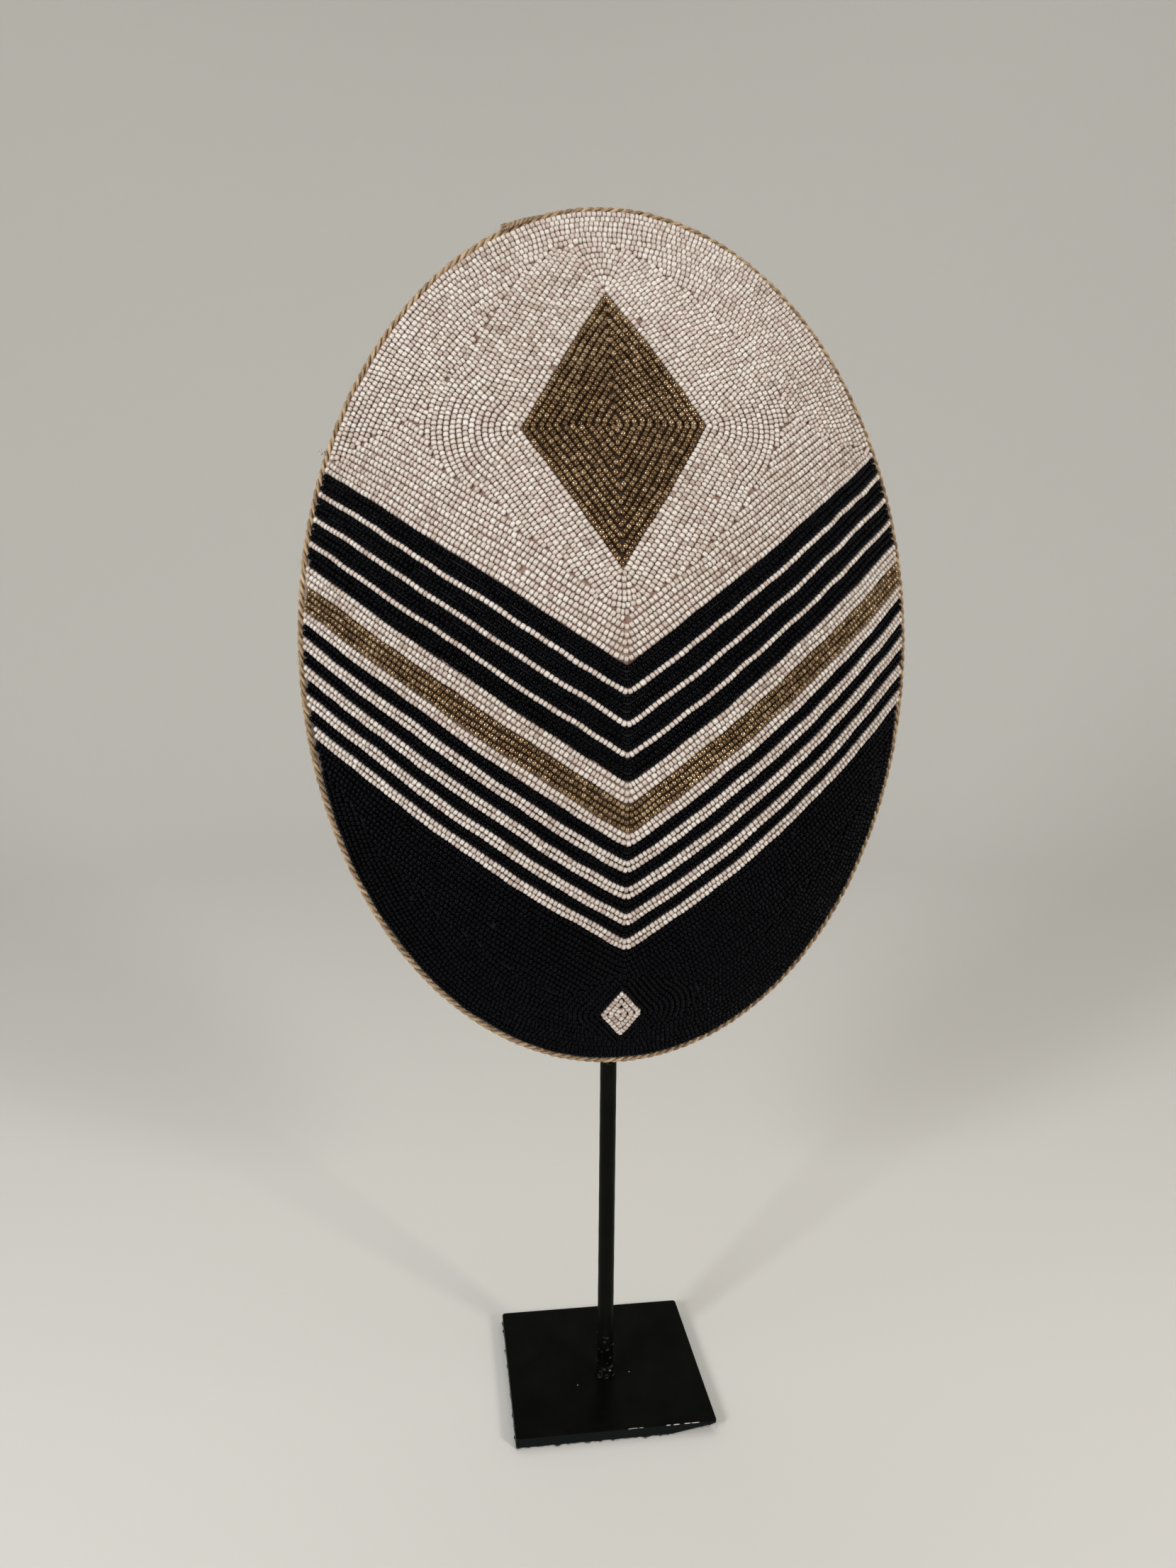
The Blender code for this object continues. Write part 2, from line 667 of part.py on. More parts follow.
def make_weld():
    """The weld round the rod's foot: a torus made tall and narrow, its outside uneven.

    Across the torus's tube, from -1 inside to +1 outside, becomes the weld's width, which tapers
    to WELD_TAPER of itself at the top. Two sine waves round the rod make its outside lumpy.
    """
    ring_radius = 2.0
    bm = bmesh.new()
    bpy.ops.mesh.primitive_torus_add(
        major_segments=20, minor_segments=8, major_radius=ring_radius, minor_radius=1.0
    )
    torus = bpy.context.object
    bm.from_mesh(torus.data)
    bpy.data.objects.remove(torus)
    inner = ROD_RADIUS + FIT_GAP
    bottom = PLATE_TOP + FIT_GAP
    for vertex in bm.verts:
        x, y, z = vertex.co
        round_angle = math.atan2(y, x)
        across = math.hypot(x, y) - ring_radius
        lump = (math.sin(3 * round_angle + 1.0) + math.sin(5 * round_angle + 2.5)) / 2
        width = WELD_WIDTH + WELD_LUMP * lump * max(0.0, across)
        low = (1.0 - z) / 2
        radius = inner + width * (across + 1.0) / 2 * (WELD_TAPER + (1.0 - WELD_TAPER) * low)
        height = bottom + WELD_HEIGHT * (z + 1.0) / 2
        vertex.co = (radius * math.cos(round_angle), radius * math.sin(round_angle), height)
    mesh = mesh_from(bm, "weld_bead")
    add_object("weld_bead", mesh, parts, materials["weld_paint"])


clear_scene()
parts = new_collection("beaded_shield")
cutters = new_collection("cutters")
materials = {name: make_material(name) for name in COLOURS}
wood = materials["wood"]
black = materials["black_paint"]
shield = bpy.data.objects.new("shield", None)
parts.objects.link(shield)
shield.location = (SHIELD_OFFSET, 0.0, SHIELD_CENTRE_HEIGHT)
shield.rotation_euler = (0.0, -SHIELD_LEAN, 0.0)

make_felt()
make_plate()
make_rod()
make_weld()
make_shell()
make_beadwork()
make_rim_cord()
make_cord_end()
make_stray_bead()
make_back()
bpy.context.view_layer.update()
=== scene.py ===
# %% [markdown]
# A beaded shield on a black steel stand, dressed for rendering.
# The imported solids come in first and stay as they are. Every surface that shows is then either given a
# material or replaced by a finer mesh that sits in the same place: thousands of glass beads, a twisted
# cord, a carved shell, a painted stand. The lesson is how far plain numpy arrays go in making such meshes.

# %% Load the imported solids
import math

import bpy
import numpy as np
from mathutils import Matrix, Vector
from mathutils.kdtree import KDTree


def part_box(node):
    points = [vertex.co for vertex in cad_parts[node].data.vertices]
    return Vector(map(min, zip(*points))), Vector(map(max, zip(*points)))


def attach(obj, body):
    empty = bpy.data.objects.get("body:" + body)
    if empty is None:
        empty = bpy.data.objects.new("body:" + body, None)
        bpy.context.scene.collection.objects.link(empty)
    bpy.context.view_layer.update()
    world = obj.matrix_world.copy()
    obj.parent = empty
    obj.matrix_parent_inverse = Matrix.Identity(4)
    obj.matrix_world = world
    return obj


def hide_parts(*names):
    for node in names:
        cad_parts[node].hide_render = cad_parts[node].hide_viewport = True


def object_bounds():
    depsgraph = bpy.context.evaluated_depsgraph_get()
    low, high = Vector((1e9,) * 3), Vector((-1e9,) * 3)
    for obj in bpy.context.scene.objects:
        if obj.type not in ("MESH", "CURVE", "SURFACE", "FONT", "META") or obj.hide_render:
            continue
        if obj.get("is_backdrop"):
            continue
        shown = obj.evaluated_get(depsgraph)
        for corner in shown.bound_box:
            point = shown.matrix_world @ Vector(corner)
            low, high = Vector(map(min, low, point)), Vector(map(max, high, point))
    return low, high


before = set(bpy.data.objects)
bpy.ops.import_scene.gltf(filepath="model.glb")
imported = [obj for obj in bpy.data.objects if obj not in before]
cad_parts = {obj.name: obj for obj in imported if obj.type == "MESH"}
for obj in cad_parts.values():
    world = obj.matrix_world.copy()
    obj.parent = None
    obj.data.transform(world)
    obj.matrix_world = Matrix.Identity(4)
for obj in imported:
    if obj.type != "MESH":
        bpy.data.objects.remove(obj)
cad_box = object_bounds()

rng = np.random.default_rng(8)
print("solids loaded:", len(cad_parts))

# %% [markdown]
# Sizes come from the solids wherever a box can give them. The shield leans a little, so its two half
# axes a and b follow from its upright box w by h: the squares add up to a*a + b*b = w*w + h*h, and
# they differ by (w*w - h*h) / cos(2 lean). Only what no box shows is named as a number here.

# %% Sizes of the shield and the stand
FIT_GAP = 0.0003
LEAN = math.radians(2.1)
WALL = 0.006


def box_of(node):
    """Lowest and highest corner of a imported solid, as arrays."""
    low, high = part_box(node)
    return np.array(low), np.array(high)


cord_low, cord_high = box_of("rim_cord")
box_half = (cord_high - cord_low) / 2
CENTRE = (cord_high + cord_low) / 2
square_sum = box_half[0] ** 2 + box_half[2] ** 2
square_gap = (box_half[2] ** 2 - box_half[0] ** 2) / math.cos(2 * LEAN)
HALF_WIDTH = math.sqrt((square_sum - square_gap) / 2)
HALF_HEIGHT = math.sqrt((square_sum + square_gap) / 2)
RIM_BACK, RIM_FRONT = cord_high[1], cord_low[1]
CORD_RADIUS = (RIM_BACK - RIM_FRONT) / 2
SHELL_X = HALF_WIDTH - 2 * CORD_RADIUS - FIT_GAP
SHELL_Z = HALF_HEIGHT - 2 * CORD_RADIUS - FIT_GAP
DOME_RISE = RIM_FRONT - box_of("shield_shell")[0][1]
rod_low, rod_high = box_of("rod")
ROD_RADIUS = (rod_high[0] - rod_low[0]) / 2
plate_low, plate_high = box_of("base_plate")
main_sizes = (2 * HALF_WIDTH, 2 * HALF_HEIGHT, DOME_RISE, 2 * ROD_RADIUS)
print("shield {:.4f} x {:.4f}, rise {:.4f}, rod {:.4f} m".format(*main_sizes))

# %% [markdown]
# A camera is easiest to match to a photograph from three turns and a place. Its long side covers a
# 36 mm sensor, so the focal length in pixels times 36 over the long side gives the lens.

# %% Camera at the photograph's viewpoint
IMAGE_HEIGHT = 2212
FOCAL_PIXELS = 1644.0
CAMERA_PLACE = Vector((-0.1056, -0.6535, 0.4987))
CAMERA_YAW, CAMERA_PITCH, CAMERA_ROLL = 0.1397, 0.1704, 0.0079

forward = Vector(
    (
        math.sin(CAMERA_YAW) * math.cos(CAMERA_PITCH),
        math.cos(CAMERA_YAW) * math.cos(CAMERA_PITCH),
        -math.sin(CAMERA_PITCH),
    )
)
level_right = Vector((math.cos(CAMERA_YAW), -math.sin(CAMERA_YAW), 0.0))
level_up = level_right.cross(forward)
right = math.cos(CAMERA_ROLL) * level_right + math.sin(CAMERA_ROLL) * level_up
up = -math.sin(CAMERA_ROLL) * level_right + math.cos(CAMERA_ROLL) * level_up
camera = bpy.data.objects.new("camera", bpy.data.cameras.new("camera"))
bpy.context.scene.collection.objects.link(camera)
camera.matrix_world = Matrix.Translation(CAMERA_PLACE) @ Matrix((right, up, -forward)).transposed().to_4x4()
camera.data.sensor_width = 36.0
camera.data.lens = FOCAL_PIXELS * camera.data.sensor_width / IMAGE_HEIGHT
bpy.context.scene.camera = camera
print(f"lens {camera.data.lens:.2f} mm")

# %% [markdown]
# Every mesh here starts as numpy arrays. Writing them with foreach_set takes a few milliseconds even
# for a hundred thousand faces, where a loop over vertices would take minutes. Faces may be quads and
# triangles together, so they are given as one flat list of corners and the number of corners in each.


# %% Meshes from arrays
def make_piece(name, points, faces, material, attributes=None, bake_map=None):
    """A mesh object at the origin from arrays.

    points is (n, 3). faces is a list of arrays, each (m, corners) of point numbers.
    attributes maps a name to one number for each point. bake_map holds, for each array in faces,
    the place of every corner on a flat map that colours can be baked through.
    """
    corners = np.concatenate([part.ravel() for part in faces])
    sizes = np.concatenate([np.full(len(part), part.shape[1]) for part in faces])
    starts = np.concatenate(([0], np.cumsum(sizes)[:-1]))
    mesh = bpy.data.meshes.new(name)
    mesh.vertices.add(len(points))
    mesh.vertices.foreach_set("co", np.asarray(points, np.float32).ravel())
    mesh.loops.add(len(corners))
    mesh.loops.foreach_set("vertex_index", corners.astype(np.int32))
    mesh.polygons.add(len(sizes))
    mesh.polygons.foreach_set("loop_start", starts.astype(np.int32))
    mesh.polygons.foreach_set("use_smooth", np.ones(len(sizes), bool))
    mesh.update(calc_edges=True)
    for label, values in (attributes or {}).items():
        layer = mesh.attributes.new(label, "FLOAT", "POINT")
        layer.data.foreach_set("value", np.asarray(values, np.float32))
    if bake_map is not None:
        layer = mesh.uv_layers.new(name="OFBake")
        flat = np.concatenate([part.reshape(-1, 2) for part in bake_map])
        layer.uv.foreach_set("vector", flat.astype(np.float32).ravel())
    mesh.materials.append(material)
    piece = bpy.data.objects.new(name, mesh)
    bpy.context.scene.collection.objects.link(piece)
    return piece


def grid_faces(rows, columns, close_rows=False, close_columns=False):
    """Quads over a grid of points numbered row by row, joined round in either direction if asked."""
    row = np.arange(rows if close_rows else rows - 1)[:, None]
    column = np.arange(columns if close_columns else columns - 1)[None, :]
    next_row, next_column = (row + 1) % rows, (column + 1) % columns
    quads = (
        row * columns + column,
        row * columns + next_column,
        next_row * columns + next_column,
        next_row * columns + column,
    )
    return np.stack(np.broadcast_arrays(*quads), -1).reshape(-1, 4)


def angles_round(count):
    """Angles that part a full turn evenly: 2 pi times 0, 1, 2 and on, over the count."""
    return 2 * math.pi * np.arange(count) / count


def dress(piece, slot, *nodes):
    """The piece rides on the object and stands for the named solids. slot is not used."""
    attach(piece, "root")
    if nodes:
        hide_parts(*nodes)
    corners = len(piece.data.loops) - 2 * len(piece.data.polygons)
    print(f"{piece.name}: {corners} triangles")
    return piece


# %% [markdown]
# Shader graphs read best as sums and products. The class below wraps one output socket, and its
# operators add the Math nodes. Colours never pass through Math, which would turn them grey: they go
# through Mix. Any other node comes from the one method named node.


# %% A socket that can be added and multiplied
class Wire:
    """One value inside a material. Operators on it add Math nodes."""

    def __init__(self, tree, socket=None):
        self.tree = tree
        self.socket = socket

    def node(self, kind, settings=None, inputs=None, output=0):
        """Adds a node. Settings are set first, a ramp's stops among them, then values or links."""
        made = self.tree.nodes.new(kind)
        for name, value in (settings or {}).items():
            if name == "stops":
                set_stops(made.color_ramp, value)
            else:
                setattr(made, name, value)
        for name, value in (inputs or {}).items():
            if isinstance(value, Wire):
                self.tree.links.new(value.socket, made.inputs[name])
            else:
                made.inputs[name].default_value = value
        return Wire(self.tree, made.outputs[output])

    def math(self, operation, *values):
        """One operation on plain values or Wires."""
        return self.node("ShaderNodeMath", {"operation": operation}, dict(enumerate(values)))

    def __add__(self, other):
        return self.math("ADD", self, other)

    def __mul__(self, other):
        return self.math("MULTIPLY", self, other)

    __radd__ = __add__
    __rmul__ = __mul__

    def clamp(self, low, high):
        """Rises from 0 where the value is low to 1 where it is high, and stays between them."""
        return self.node("ShaderNodeMapRange", None, {0: self, 1: low, 2: high})

    def ramp(self, *stops):
        """A colour for each value, blended between the stops."""
        return self.node("ShaderNodeValToRGB", {"stops": stops}, {0: self})

    def mix(self, first, second):
        """The first colour where this value is 0 and the second where it is 1."""
        return self.node("ShaderNodeMix", {"data_type": "RGBA"}, {0: self, 6: first, 7: second}, 2)

    def attribute(self, name):
        """A number that the mesh holds for each point."""
        return self.node("ShaderNodeAttribute", {"attribute_name": name}, None, "Fac")

    def place(self, scale=(1.0, 1.0, 1.0)):
        """Object coordinates in metres, each axis times its scale."""
        coordinates = self.node("ShaderNodeTexCoord", None, None, "Object")
        return self.node("ShaderNodeMapping", None, {"Vector": coordinates, "Scale": scale})

    def noise(self, scale, detail=2.0, stretch=(1.0, 1.0, 1.0)):
        """Soft noise from about 0 to 1. Scale is in grains to the metre."""
        inputs = {"Vector": self.place(stretch), "Scale": scale, "Detail": detail}
        return self.node("ShaderNodeTexNoise", None, inputs)

    def bump(self, distance, strength=1.0):
        """A normal that rises and falls with the value, by a distance in metres."""
        inputs = {"Height": self, "Distance": distance, "Strength": strength}
        return self.node("ShaderNodeBump", None, inputs)


def set_stops(ramp, stops):
    """Gives a ramp these stops, each a place from 0 to 1 and a colour."""
    while len(ramp.elements) < len(stops):
        ramp.elements.new(1.0)
    for element, (place, colour) in zip(ramp.elements, stops):
        element.position = place
        element.color = (*colour, 1.0)


def new_material(name):
    """An empty material: its shader's sockets by name, and a Wire to start from."""
    material = bpy.data.materials.new(name)
    material.use_nodes = True
    shader = material.node_tree.nodes["Principled BSDF"]
    return material, shader, Wire(material.node_tree)


def set_shader(shader, values):
    """Sets the shader's sockets to plain values or to Wires."""
    for name, value in values.items():
        if isinstance(value, Wire):
            value.tree.links.new(value.socket, shader.inputs[name])
        elif isinstance(value, tuple):
            shader.inputs[name].default_value = (*value, 1.0)
        else:
            shader.inputs[name].default_value = value


print("helpers ready")

# %% [markdown]
# The dome is a parabola along every line from its middle to its edge. Beadwork is laid over it with a
# tape, so the pattern is drawn in a flat plane whose distances from the middle are lengths over the
# dome. A parabola's arc has a closed formula. A few corrections turn it round to find the point: each
# is the error in length over the arc's rate there.

# %% The dome and the plane that the beads are drawn in
CORRECTIONS = 8


def dome_depth(share):
    """How far back the wood lies, at a share of the way to the edge: a parabola with its rise in front."""
    return RIM_FRONT - DOME_RISE * (1.0 - share * share)


def flat_reach(angle):
    """Distance from the middle to the dome's edge, seen from the front, in a direction."""
    return 1.0 / np.hypot(np.cos(angle) / SHELL_X, np.sin(angle) / SHELL_Z)


def arc_length(reach, share):
    """Length over the dome from its middle, the closed formula for a parabola's arc."""
    steepness = 2.0 * DOME_RISE / reach
    slope = steepness * share
    return reach * (share / 2 * np.sqrt(1 + slope**2) + np.arcsinh(slope) / (2 * steepness))


def lay(flat):
    """Points of the plane laid on the dome, in the shield's own frame."""
    distance = np.maximum(np.hypot(flat[:, 0], flat[:, 1]), 1e-9)
    angle = np.arctan2(flat[:, 1], flat[:, 0])
    reach = flat_reach(angle)
    share = distance / reach
    for _ in range(CORRECTIONS):
        slope = 2.0 * DOME_RISE / reach * share
        share = share - (arc_length(reach, share) - distance) / (reach * np.sqrt(1 + slope**2))
    return np.stack(
        (reach * share * np.cos(angle), dome_depth(share), reach * share * np.sin(angle)), -1
    )


def dome_normal(points):
    """The direction straight out of the dome: minus the gradient of y minus its depth formula."""
    slope_x = 2.0 * DOME_RISE * points[:, 0] / SHELL_X**2
    slope_z = 2.0 * DOME_RISE * points[:, 2] / SHELL_Z**2
    normal = np.stack((slope_x, -np.ones(len(points)), slope_z), -1)
    return normal / np.linalg.norm(normal, axis=1, keepdims=True)


def stand_up(points):
    """From the shield's own frame to the object's: turned by its lean, then moved to its middle."""
    x, y, z = np.moveaxis(np.asarray(points, float), -1, 0)
    return np.stack(
        (
            CENTRE[0] + x * math.cos(LEAN) - z * math.sin(LEAN),
            y,
            CENTRE[2] + x * math.sin(LEAN) + z * math.cos(LEAN),
        ),
        -1,
    )


print("over the dome from middle to side:", round(float(arc_length(SHELL_X, 1.0)), 4))

# %% [markdown]
# The pattern is a set of distance functions on that plane: how many rows below the top chevron a point
# lies, how far outside a lozenge, how far inside the edge. Rows of beads follow the level lines of one
# of them, half a row in from its zero. Where two families of rows meet, the nearer guide owns the
# place, and that is what makes the seams of real beadwork. At the shield's foot the beadwork stops a
# little sooner than at its top, so more of the cord shows there.

# %% Distances that guide the rows
PITCH = 0.0033
CHEVRON_ANGLE = math.radians(35)
CHEVRON_APEX = (-0.003, 0.002)
TURN_ROUND = 0.0016
BANDS = (
    ("bold_chevrons", "BBBIBBBIBBBIBBB"),
    ("ivory_chevron", "III"),
    ("bronze_chevron", "MMMM"),
    ("lower_ivory_chevron", "II"),
    ("thin_chevrons", "BBIIBBIIBBIIBBIIBB"),
)
ROW_COLOURS = "".join(rows for _, rows in BANDS)
ROW_COUNT = len(ROW_COLOURS)
LOZENGE_HALF = (0.048, 0.072)
SMALL_LOZENGE_HALF = (0.0125, 0.019)
LOW_EDGE = 0.0012
EDGE_STEPS = 1441


def chevron_turn(rows):
    """Height of a row's turn: the top chevron's, less the pitch over the angle's cosine for each row."""
    return CHEVRON_APEX[1] - rows * PITCH / math.cos(CHEVRON_ANGLE)


def rows_below(flat):
    """Rows below the top chevron: the drop from a V with a slightly round turn, over the pitch."""
    across = np.sqrt((flat[:, 0] - CHEVRON_APEX[0]) ** 2 + TURN_ROUND**2)
    drop = chevron_turn(0) + math.tan(CHEVRON_ANGLE) * across - flat[:, 1]
    return drop * math.cos(CHEVRON_ANGLE) / PITCH


def midway_to_edge(rows, side):
    """The point halfway from a chevron's turn to the edge above it (side 1) or below it (side -1)."""
    edge = side * float(arc_length(SHELL_Z, 1.0))
    return CHEVRON_APEX[0], (chevron_turn(rows) + edge) / 2


def outside_lozenge(flat, centre, half):
    """Distance to a lozenge, negative inside it: folded into one quarter, it is one side's distance."""
    a, b = half
    x, y = np.abs(flat[:, 0] - centre[0]), np.abs(flat[:, 1] - centre[1])
    along = np.clip(((x - a) * -a + y * b) / (a * a + b * b), 0.0, 1.0)
    away = np.hypot(x - a * (1 - along), y - b * along)
    return np.where(x * b + y * a < a * b, -away, away)


edge_angles = np.linspace(-math.pi, math.pi, EDGE_STEPS)
edge_radius = arc_length(flat_reach(edge_angles), 1.0) - LOW_EDGE / 2 * (1 - np.sin(edge_angles))
edge_tilt = np.arctan(np.gradient(edge_radius, edge_angles) / edge_radius)


def inside_edge(flat):
    """Distance to the dome's edge: the way left along the radius, times the cosine of its tilt."""
    angle = np.arctan2(flat[:, 1], flat[:, 0])
    radius = np.interp(angle, edge_angles, edge_radius)
    tilt = np.interp(angle, edge_angles, edge_tilt)
    return (radius - np.hypot(flat[:, 0], flat[:, 1])) * np.cos(tilt)


UPPER_LOZENGE = (midway_to_edge(0, 1), LOZENGE_HALF)
LOWER_LOZENGE = (midway_to_edge(ROW_COUNT, -1), SMALL_LOZENGE_HALF)
print("rows in the chevrons:", ROW_COUNT)

# %% [markdown]
# Each family of rows is a list of lines in the plane. A chevron row is the V moved down, a rim row is
# the edge moved inwards, and a row round a lozenge has straight sides and round corners outside it,
# or a smaller lozenge inside it.

# %% Lines of the rows
LINE_STEP = 0.001
OVERHANG = 0.0009
CHEVRON_REACH = 0.2
CORNER_STEPS = 25
LEAST_SPOTS = 24
ROWS_ABOVE, ROWS_BELOW = 32, 26
RIM_ROWS = 24
ROUND_ROWS = 22


def run_of(steps):
    """Length along a line up to each of its points: the running sum of the steps between them."""
    return np.concatenate(([0.0], np.cumsum(steps)))


def at_lengths(spots, run, values):
    """Each column of values read off at lengths along a line, straight between the line's points."""
    return np.stack([np.interp(spots, run, column) for column in values.T], -1)


def chevron_row(row):
    """v = turn + tan(angle) * sqrt(u*u + r*r), which is a V with a turn of radius r."""
    across = np.arange(-CHEVRON_REACH, CHEVRON_REACH, LINE_STEP)
    rise = math.tan(CHEVRON_ANGLE) * np.sqrt(across**2 + TURN_ROUND**2)
    return np.stack((across + CHEVRON_APEX[0], chevron_turn(row) + rise), -1)


def rim_row(distance):
    """The edge moved inwards by a distance, measured square to it."""
    radius = edge_radius - distance / np.cos(edge_tilt)
    return np.stack((radius * np.cos(edge_angles), radius * np.sin(edge_angles)), -1)


def lozenge_row(centre, half, distance):
    """A lozenge grown by a distance, its corners arcs, or shrunk by it, its corners sharp."""
    a, b = half
    steep = math.atan2(a, b)
    corners = np.array([(a, 0), (0, b), (-a, 0), (0, -b)], float)
    if distance > 0:
        sweep = np.linspace(-1, 1, CORNER_STEPS)
        to_sides, to_tips = math.pi / 2 - steep, steep
        turns = [(0.0, to_sides), (0.5, to_tips), (1.0, to_sides), (1.5, to_tips)]
        normals = np.concatenate([middle * math.pi + sweep * half_turn for middle, half_turn in turns])
        tips = np.repeat(corners, CORNER_STEPS, axis=0)
        ring = tips + distance * np.stack((np.cos(normals), np.sin(normals)), -1)
    else:
        shrunk = 1.0 + distance * math.hypot(a, b) / (a * b)
        ring = shrunk * corners
    ring = np.concatenate((ring, ring[:1]))
    length = run_of(np.hypot(*np.diff(ring, axis=0).T))
    spots = np.linspace(0.0, length[-1], max(LEAST_SPOTS, int(length[-1] / LINE_STEP)))
    return at_lengths(spots, length, ring) + np.array(centre)


families = []
for row in range(-ROWS_ABOVE, ROW_COUNT + ROWS_BELOW):
    families.append(("chevron", row, chevron_row(row + 0.5), False))
for row in range(RIM_ROWS):
    families.append(("rim", row, rim_row((row + 0.5) * PITCH - OVERHANG), True))
for label, (centre, half) in (("upper", UPPER_LOZENGE), ("lower", LOWER_LOZENGE)):
    inner = half[0] * half[1] / math.hypot(*half)
    for row in range(int(inner / PITCH)):
        families.append((label + "_inside", row, lozenge_row(centre, half, -(row + 0.5) * PITCH), True))
    for row in range(ROUND_ROWS):
        families.append((label + "_round", row, lozenge_row(centre, half, (row + 0.5) * PITCH), True))
print("rows drawn:", len(families))

# %% [markdown]
# Beads are strung before they are glued down, so their places go by length over the dome, not in the
# plane. Each line is laid on the dome, measured, and cut into bead lengths. An open row is cut to run
# from edge to edge, a little over the cord, so that all rows end evenly. Hands aren't rulers: the
# whole plane is warped by a fraction of a millimetre, each row wavers on its own, and no two beads
# are the same length.

# %% Bead places along the rows
BEAD_SPACING = 0.00262
LENGTH_SPREAD = 0.12
LENGTH_LIMITS = (0.68, 1.3)
BEAD_RADIUS = 0.0016
WARP = 0.00045
WAVER = 0.00010
BRONZE_WAVER = 1.6 * WAVER
STRINGINGS = 3


def warped(flat):
    """The plane pushed about by slow sine waves, so that neighbouring rows move together."""
    x, y = flat[:, 0], flat[:, 1]
    push_x = np.sin(73 * y + 41 * x + 0.7) + 0.6 * np.sin(151 * y - 88 * x + 2.1)
    push_y = np.sin(67 * x - 52 * y + 1.9) + 0.6 * np.sin(139 * x + 97 * y + 0.3)
    return flat + WARP / 1.6 * np.stack((push_x, push_y), -1)


def wavered(flat, amount):
    """A row moved sideways by three sine waves of its own."""
    run = run_of(np.hypot(*np.diff(flat, axis=0).T))
    waves, phases = rng.uniform(80, 420, 3), rng.uniform(0, 2 * math.pi, 3)
    shift = np.sin(run[:, None] * waves + phases).sum(1) * amount
    along = np.gradient(flat, axis=0)
    along /= np.maximum(np.linalg.norm(along, axis=1, keepdims=True), 1e-9)
    return flat + shift[:, None] * np.stack((-along[:, 1], along[:, 0]), -1)


def inside_runs(run, inside):
    """Stretches of a line, as pairs of lengths along it, where a value at its points is above zero."""
    crossed = np.flatnonzero(np.diff((inside > 0).astype(int)))
    share = inside[crossed] / (inside[crossed] - inside[crossed + 1])
    ends = run[crossed] + share * (run[crossed + 1] - run[crossed])
    return np.concatenate((run[:1][inside[:1] > 0], ends, run[-1:][inside[-1:] > 0])).reshape(-1, 2)


def string_beads(line, closed, amount):
    """Beads strung along one line: their lengths, places in the plane and on the dome, and directions.

    Each bead's middle lies at the lengths of all the beads before it and half its own.
    """
    moved = wavered(warped(line), amount)
    laid = lay(moved)
    run = run_of(np.linalg.norm(np.diff(laid, axis=0), axis=1))
    stretches = [(0.0, run[-1])] if closed else inside_runs(run, inside_edge(moved) + OVERHANG)
    lengths, spots = np.zeros(0), np.zeros(0)
    for start, stop in stretches:
        count = max(1, round((stop - start) / BEAD_SPACING))
        cut = np.clip(rng.normal(1.0, LENGTH_SPREAD, count), *LENGTH_LIMITS)
        cut *= (stop - start) / cut.sum()
        lengths = np.append(lengths, cut)
        spots = np.append(spots, start + np.cumsum(cut) - cut / 2)
    slope = np.gradient(laid, axis=0)
    return lengths, *(at_lengths(spots, run, values) for values in (line, laid, slope))


strung = []
for number, (family, row, line, closed) in enumerate(families * STRINGINGS):
    bronze = family == "upper_inside" or (
        family == "chevron" and 0 <= row < ROW_COUNT and ROW_COLOURS[row] == "M"
    )
    beads = string_beads(line, closed, BRONZE_WAVER if bronze else WAVER)
    strung.append((np.full(len(beads[0]), number), *beads))
string_of, lengths, flat, laid, along = (np.concatenate(part) for part in zip(*strung))
row_of = string_of % len(families)
family_of = np.array([family for family, *_ in families])[row_of]
row_numbers = np.array([row for _, row, *_ in families])[row_of]
print("places before sorting:", len(flat))

# %% [markdown]
# Now every place asks which field it lies in and which guide is nearest there. The distances are
# weighed: a guide with a weight below 1 rules a wider field. A bead is kept where its own family owns
# the place, and a little way past the seam as well, to fill the holes there. A search tree then finds
# beads of two rows that would sit inside each other, and the one that comes later is left off: bands
# and lozenges come first, owners next, then the beads past a seam, and last the rows strung again with
# other bead lengths, of which a few beads fit into the holes that are left.

# %% Keep the beads that own their place
EDGE_CLEAR = 0.0001
CROWDED = 0.0021
PAST_SEAM = 0.0026
MISSING_SHARE = 0.0010
UPPER_WEIGHT, LOWER_WEIGHT, RIM_WEIGHT = 0.85, 1.2, 1.1


def wander(flat, seed):
    """A slow swing of a few millimetres either way, so that no seam runs straight."""
    x, y = flat[:, 0], flat[:, 1]
    return 0.0045 * np.sin(37 * x + 23 * y + seed) + 0.0025 * np.sin(91 * y - 64 * x + 2 * seed)


rows = rows_below(flat)
edge = inside_edge(warped(flat))
upper = outside_lozenge(flat, *UPPER_LOZENGE)
lower = outside_lozenge(flat, *LOWER_LOZENGE)
above, below = rows < 0, rows > ROW_COUNT
in_band = ~above & ~below
chevron_away = np.where(above, -rows, rows - ROW_COUNT) * PITCH
lozenge_away = np.where(above, UPPER_WEIGHT * upper, LOWER_WEIGHT * lower) + wander(flat, 1.0)
rim_away = np.where(above, RIM_WEIGHT, 1.0) * edge + wander(flat, 4.0)
nearest = np.minimum(np.minimum(chevron_away, lozenge_away), rim_away)
round_lozenge = np.char.endswith(family_of, "round")
own_away = np.where(round_lozenge, lozenge_away, np.where(family_of == "rim", rim_away, chevron_away))
right_lozenge = ~round_lozenge | ((family_of == "upper_round") == above)
in_field = ((above & (upper > 0)) | (below & (lower > 0))) & ~np.char.endswith(family_of, "inside")
in_lozenge = ((family_of == "upper_inside") & (upper < 0)) | ((family_of == "lower_inside") & (lower < 0))
fixed = ((family_of == "chevron") & in_band) | in_lozenge
may_fill = in_field & right_lozenge & (own_away < nearest + PAST_SEAM)
owned = in_field & right_lozenge & (own_away <= nearest)
